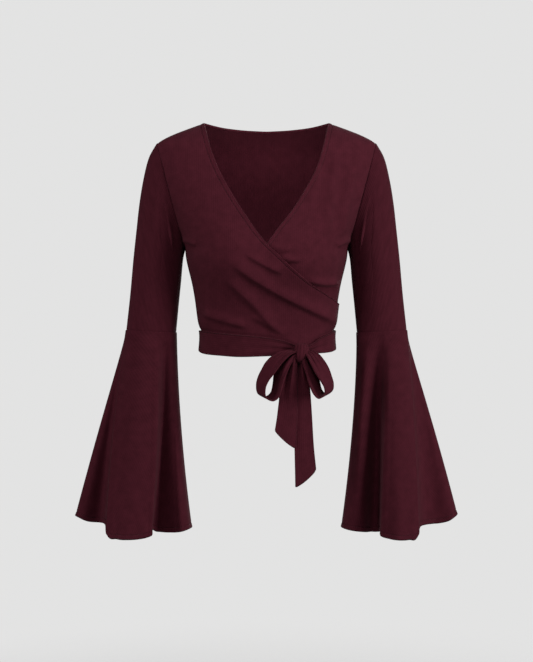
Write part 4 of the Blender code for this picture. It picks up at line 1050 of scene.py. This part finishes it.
def build_stitches(name, lines):
    """One mesh of all the stitches along those lines, each line given with the cloth's normals."""
    points = []
    for line, normals in lines:
        reached = distances(line, 0)
        middles = np.arange(STITCH["step"], reached[-1] - STITCH["step"], STITCH["step"])
        points += [one_stitch(middle, reached, line, normals) for middle in middles]
    sides, rings = STITCH["sides"], len(STITCH_RINGS)
    quads = []
    for start in range(0, len(points) * rings * sides, rings * sides):
        for first in range(start, start + (rings - 1) * sides, sides):
            for s in range(sides):
                a, b = first + s, first + (s + 1) % sides
                quads.append((a, b, b + sides, a + sides))
        end = start + (rings - 1) * sides
        quads += [(start + 3, start + 2, start + 1, start), (start + 5, start + 4, start + 3, start)]
        quads += [(end, end + 1, end + 2, end + 3), (end, end + 3, end + 4, end + 5)]
    mesh = bpy.data.meshes.new(name)
    mesh.from_pydata(np.concatenate(points).reshape(-1, 3).tolist(), [], quads)
    mesh.shade_smooth()
    piece = placed(mesh, thread())
    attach(piece, "root")


# ---------------------------------------------------------------- studio
def build_camera(scene):
    """A camera square to the front."""
    camera = bpy.data.objects.new("camera", bpy.data.cameras.new("camera"))
    scene.collection.objects.link(camera)
    camera.data.sensor_width = CAMERA["sensor"]
    camera.location = (0.0, -CAMERA["distance"], CAMERA["z"])
    camera.data.lens = CAMERA["sensor"] * CAMERA["distance"] / FRAME_HEIGHT
    camera.rotation_euler = (np.pi / 2, 0.0, 0.0)
    scene.camera = camera


def build_backdrop(scene):
    """The camera sees a pale backdrop, which hardly lights the top."""
    scene.world = bpy.data.worlds.new("studio")
    scene.world.use_nodes = True
    tree = scene.world.node_tree
    tree.nodes.clear()
    lit = node_of(tree, "ShaderNodeBackground", {"Color": (1.0, 1.0, 1.0, 1.0), "Strength": 0.012})
    seen = node_of(tree, "ShaderNodeBackground", {"Color": BACKDROP, "Strength": 1.0})
    ray = node_of(tree, "ShaderNodeLightPath").outputs["Is Camera Ray"]
    mixed = node_of(tree, "ShaderNodeMixShader", {0: ray, 1: lit.outputs[0], 2: seen.outputs[0]})
    node_of(tree, "ShaderNodeOutputWorld", {0: mixed.outputs[0]})


def build_lights(scene):
    """Soft lights from both sides, above, behind and in front, some for one group of pieces alone."""
    for name, values in LIGHTS.items():
        light = bpy.data.lights.new(name, "AREA")
        light.shape = "RECTANGLE"
        light.size, light.size_y = values["size"]
        light.energy = values["power"]
        lamp = bpy.data.objects.new(name, light)
        scene.collection.objects.link(lamp)
        lamp.location = values["at"]
        x, y, z = AIM - values["at"]
        lamp.rotation_euler = (np.arctan2(np.hypot(x, y), -z), 0.0, np.arctan2(-x, y))
        if "lights" in values:
            lamp.light_linking.receiver_collection = GROUPS[values["lights"]]
        if "shaded_by" in values:
            lamp.light_linking.blocker_collection = GROUPS[values["shaded_by"]]


def build_floor():
    """A pale floor under the top, which fades into the backdrop."""
    rings, sides = FLOOR["rings"], FLOOR["sides"]
    turn = np.linspace(0, 2 * np.pi, sides, endpoint=False)
    points = [(r * np.cos(t), r * np.sin(t), FLOOR["z"]) for r in rings for t in turn]
    faces = []
    for i in range(0, sides * (len(rings) - 1), sides):
        for j in range(sides):
            k = (j + 1) % sides
            faces.append((i + j, i + sides + j, i + sides + k, i + k))
    mesh = bpy.data.meshes.new("floor")
    mesh.from_pydata(points, [], faces)
    material, tree, shader = new_material("pale_floor")
    floor = placed(mesh, material)
    shader.inputs["Base Color"].default_value = FLOOR_COLOUR
    shader.inputs["Roughness"].default_value = 0.9
    place = node_of(tree, "ShaderNodeTexCoord").outputs["Object"]
    length = node_of(tree, "ShaderNodeVectorMath", {0: place}, operation="LENGTH").outputs["Value"]
    fade = node_of(tree, "ShaderNodeMapRange", {"Value": length, **FLOOR_FADE},
                   interpolation_type="SMOOTHSTEP")
    clear = node_of(tree, "ShaderNodeBsdfTransparent").outputs[0]
    mixed = node_of(tree, "ShaderNodeMixShader", {0: fade.outputs[0], 1: shader.outputs[0], 2: clear})
    tree.links.new(mixed.outputs[0], tree.nodes["Material Output"].inputs["Surface"])


# ---------------------------------------------------------------- the whole
def build_bodice():
    """The back and both fronts. It gives the back, and the lines of stitches of all three."""
    back, stitched = build_back()
    settle(back, "back", "inside_back", "bodice")
    for name, edge, side, rows, folds, layer, area in (
        ("over_front", OVER_EDGE, -1, OVER_ROWS, OVER_FOLDS, over_layer, 0.080),
        ("under_front", UNDER_EDGE, 1, UNDER_ROWS, UNDER_FOLDS, under_layer, 0.078),
    ):
        piece, line = build_front(name + "_cloth", edge, side, rows, folds, layer)
        stitched.append(line)
        settle(piece, name, "bodice", "chest")
    return back, stitched


def build_arm(name, side):
    """A sleeve and its flounce. It gives the flounce's line of stitches."""
    sleeve = settle(build_sleeve("sleeve_" + name + "_cloth", side), "sleeve_" + name)
    flounce, line = build_flounce("flounce_" + name + "_cloth", side, FLOUNCE_HEM[name], FLOUNCE_BELLY[name])
    settle(flounce, "flounce_" + name)
    return line


def build_waist():
    """The tie round the waist, and its bow."""
    tie = settle(build_tie(), "waist_tie")
    knot = settle(build_knot(), "bow_knot", "bow")
    for name, side, long in (("left", -1, 0.205), ("right", 1, 0.168)):
        loop = build_loop("bow_loop_" + name + "_cloth", LOOPS[name], side, STRIP_FOLDS["loop_" + name])
        settle(loop, "bow_loop_" + name, "bow")
    for name, long, area in (("left", 0.147, 0.0050), ("right", 0.211, 0.0070)):
        tail = build_tail("bow_tail_" + name + "_cloth", TAILS[name], STRIP_FOLDS["tail_" + name])
        settle(tail, "bow_tail_" + name, "bow")


def main():
    scene = bpy.context.scene
    scene.view_settings.view_transform = "Standard"
    build_camera(scene)
    build_backdrop(scene)
    build_lights(scene)
    build_floor()
    back, stitched = build_bodice()
    stitched += [build_arm(name, side) for name, side in (("left", -1), ("right", 1))]
    build_waist()
    build_stitches("stitching", stitched)


main()
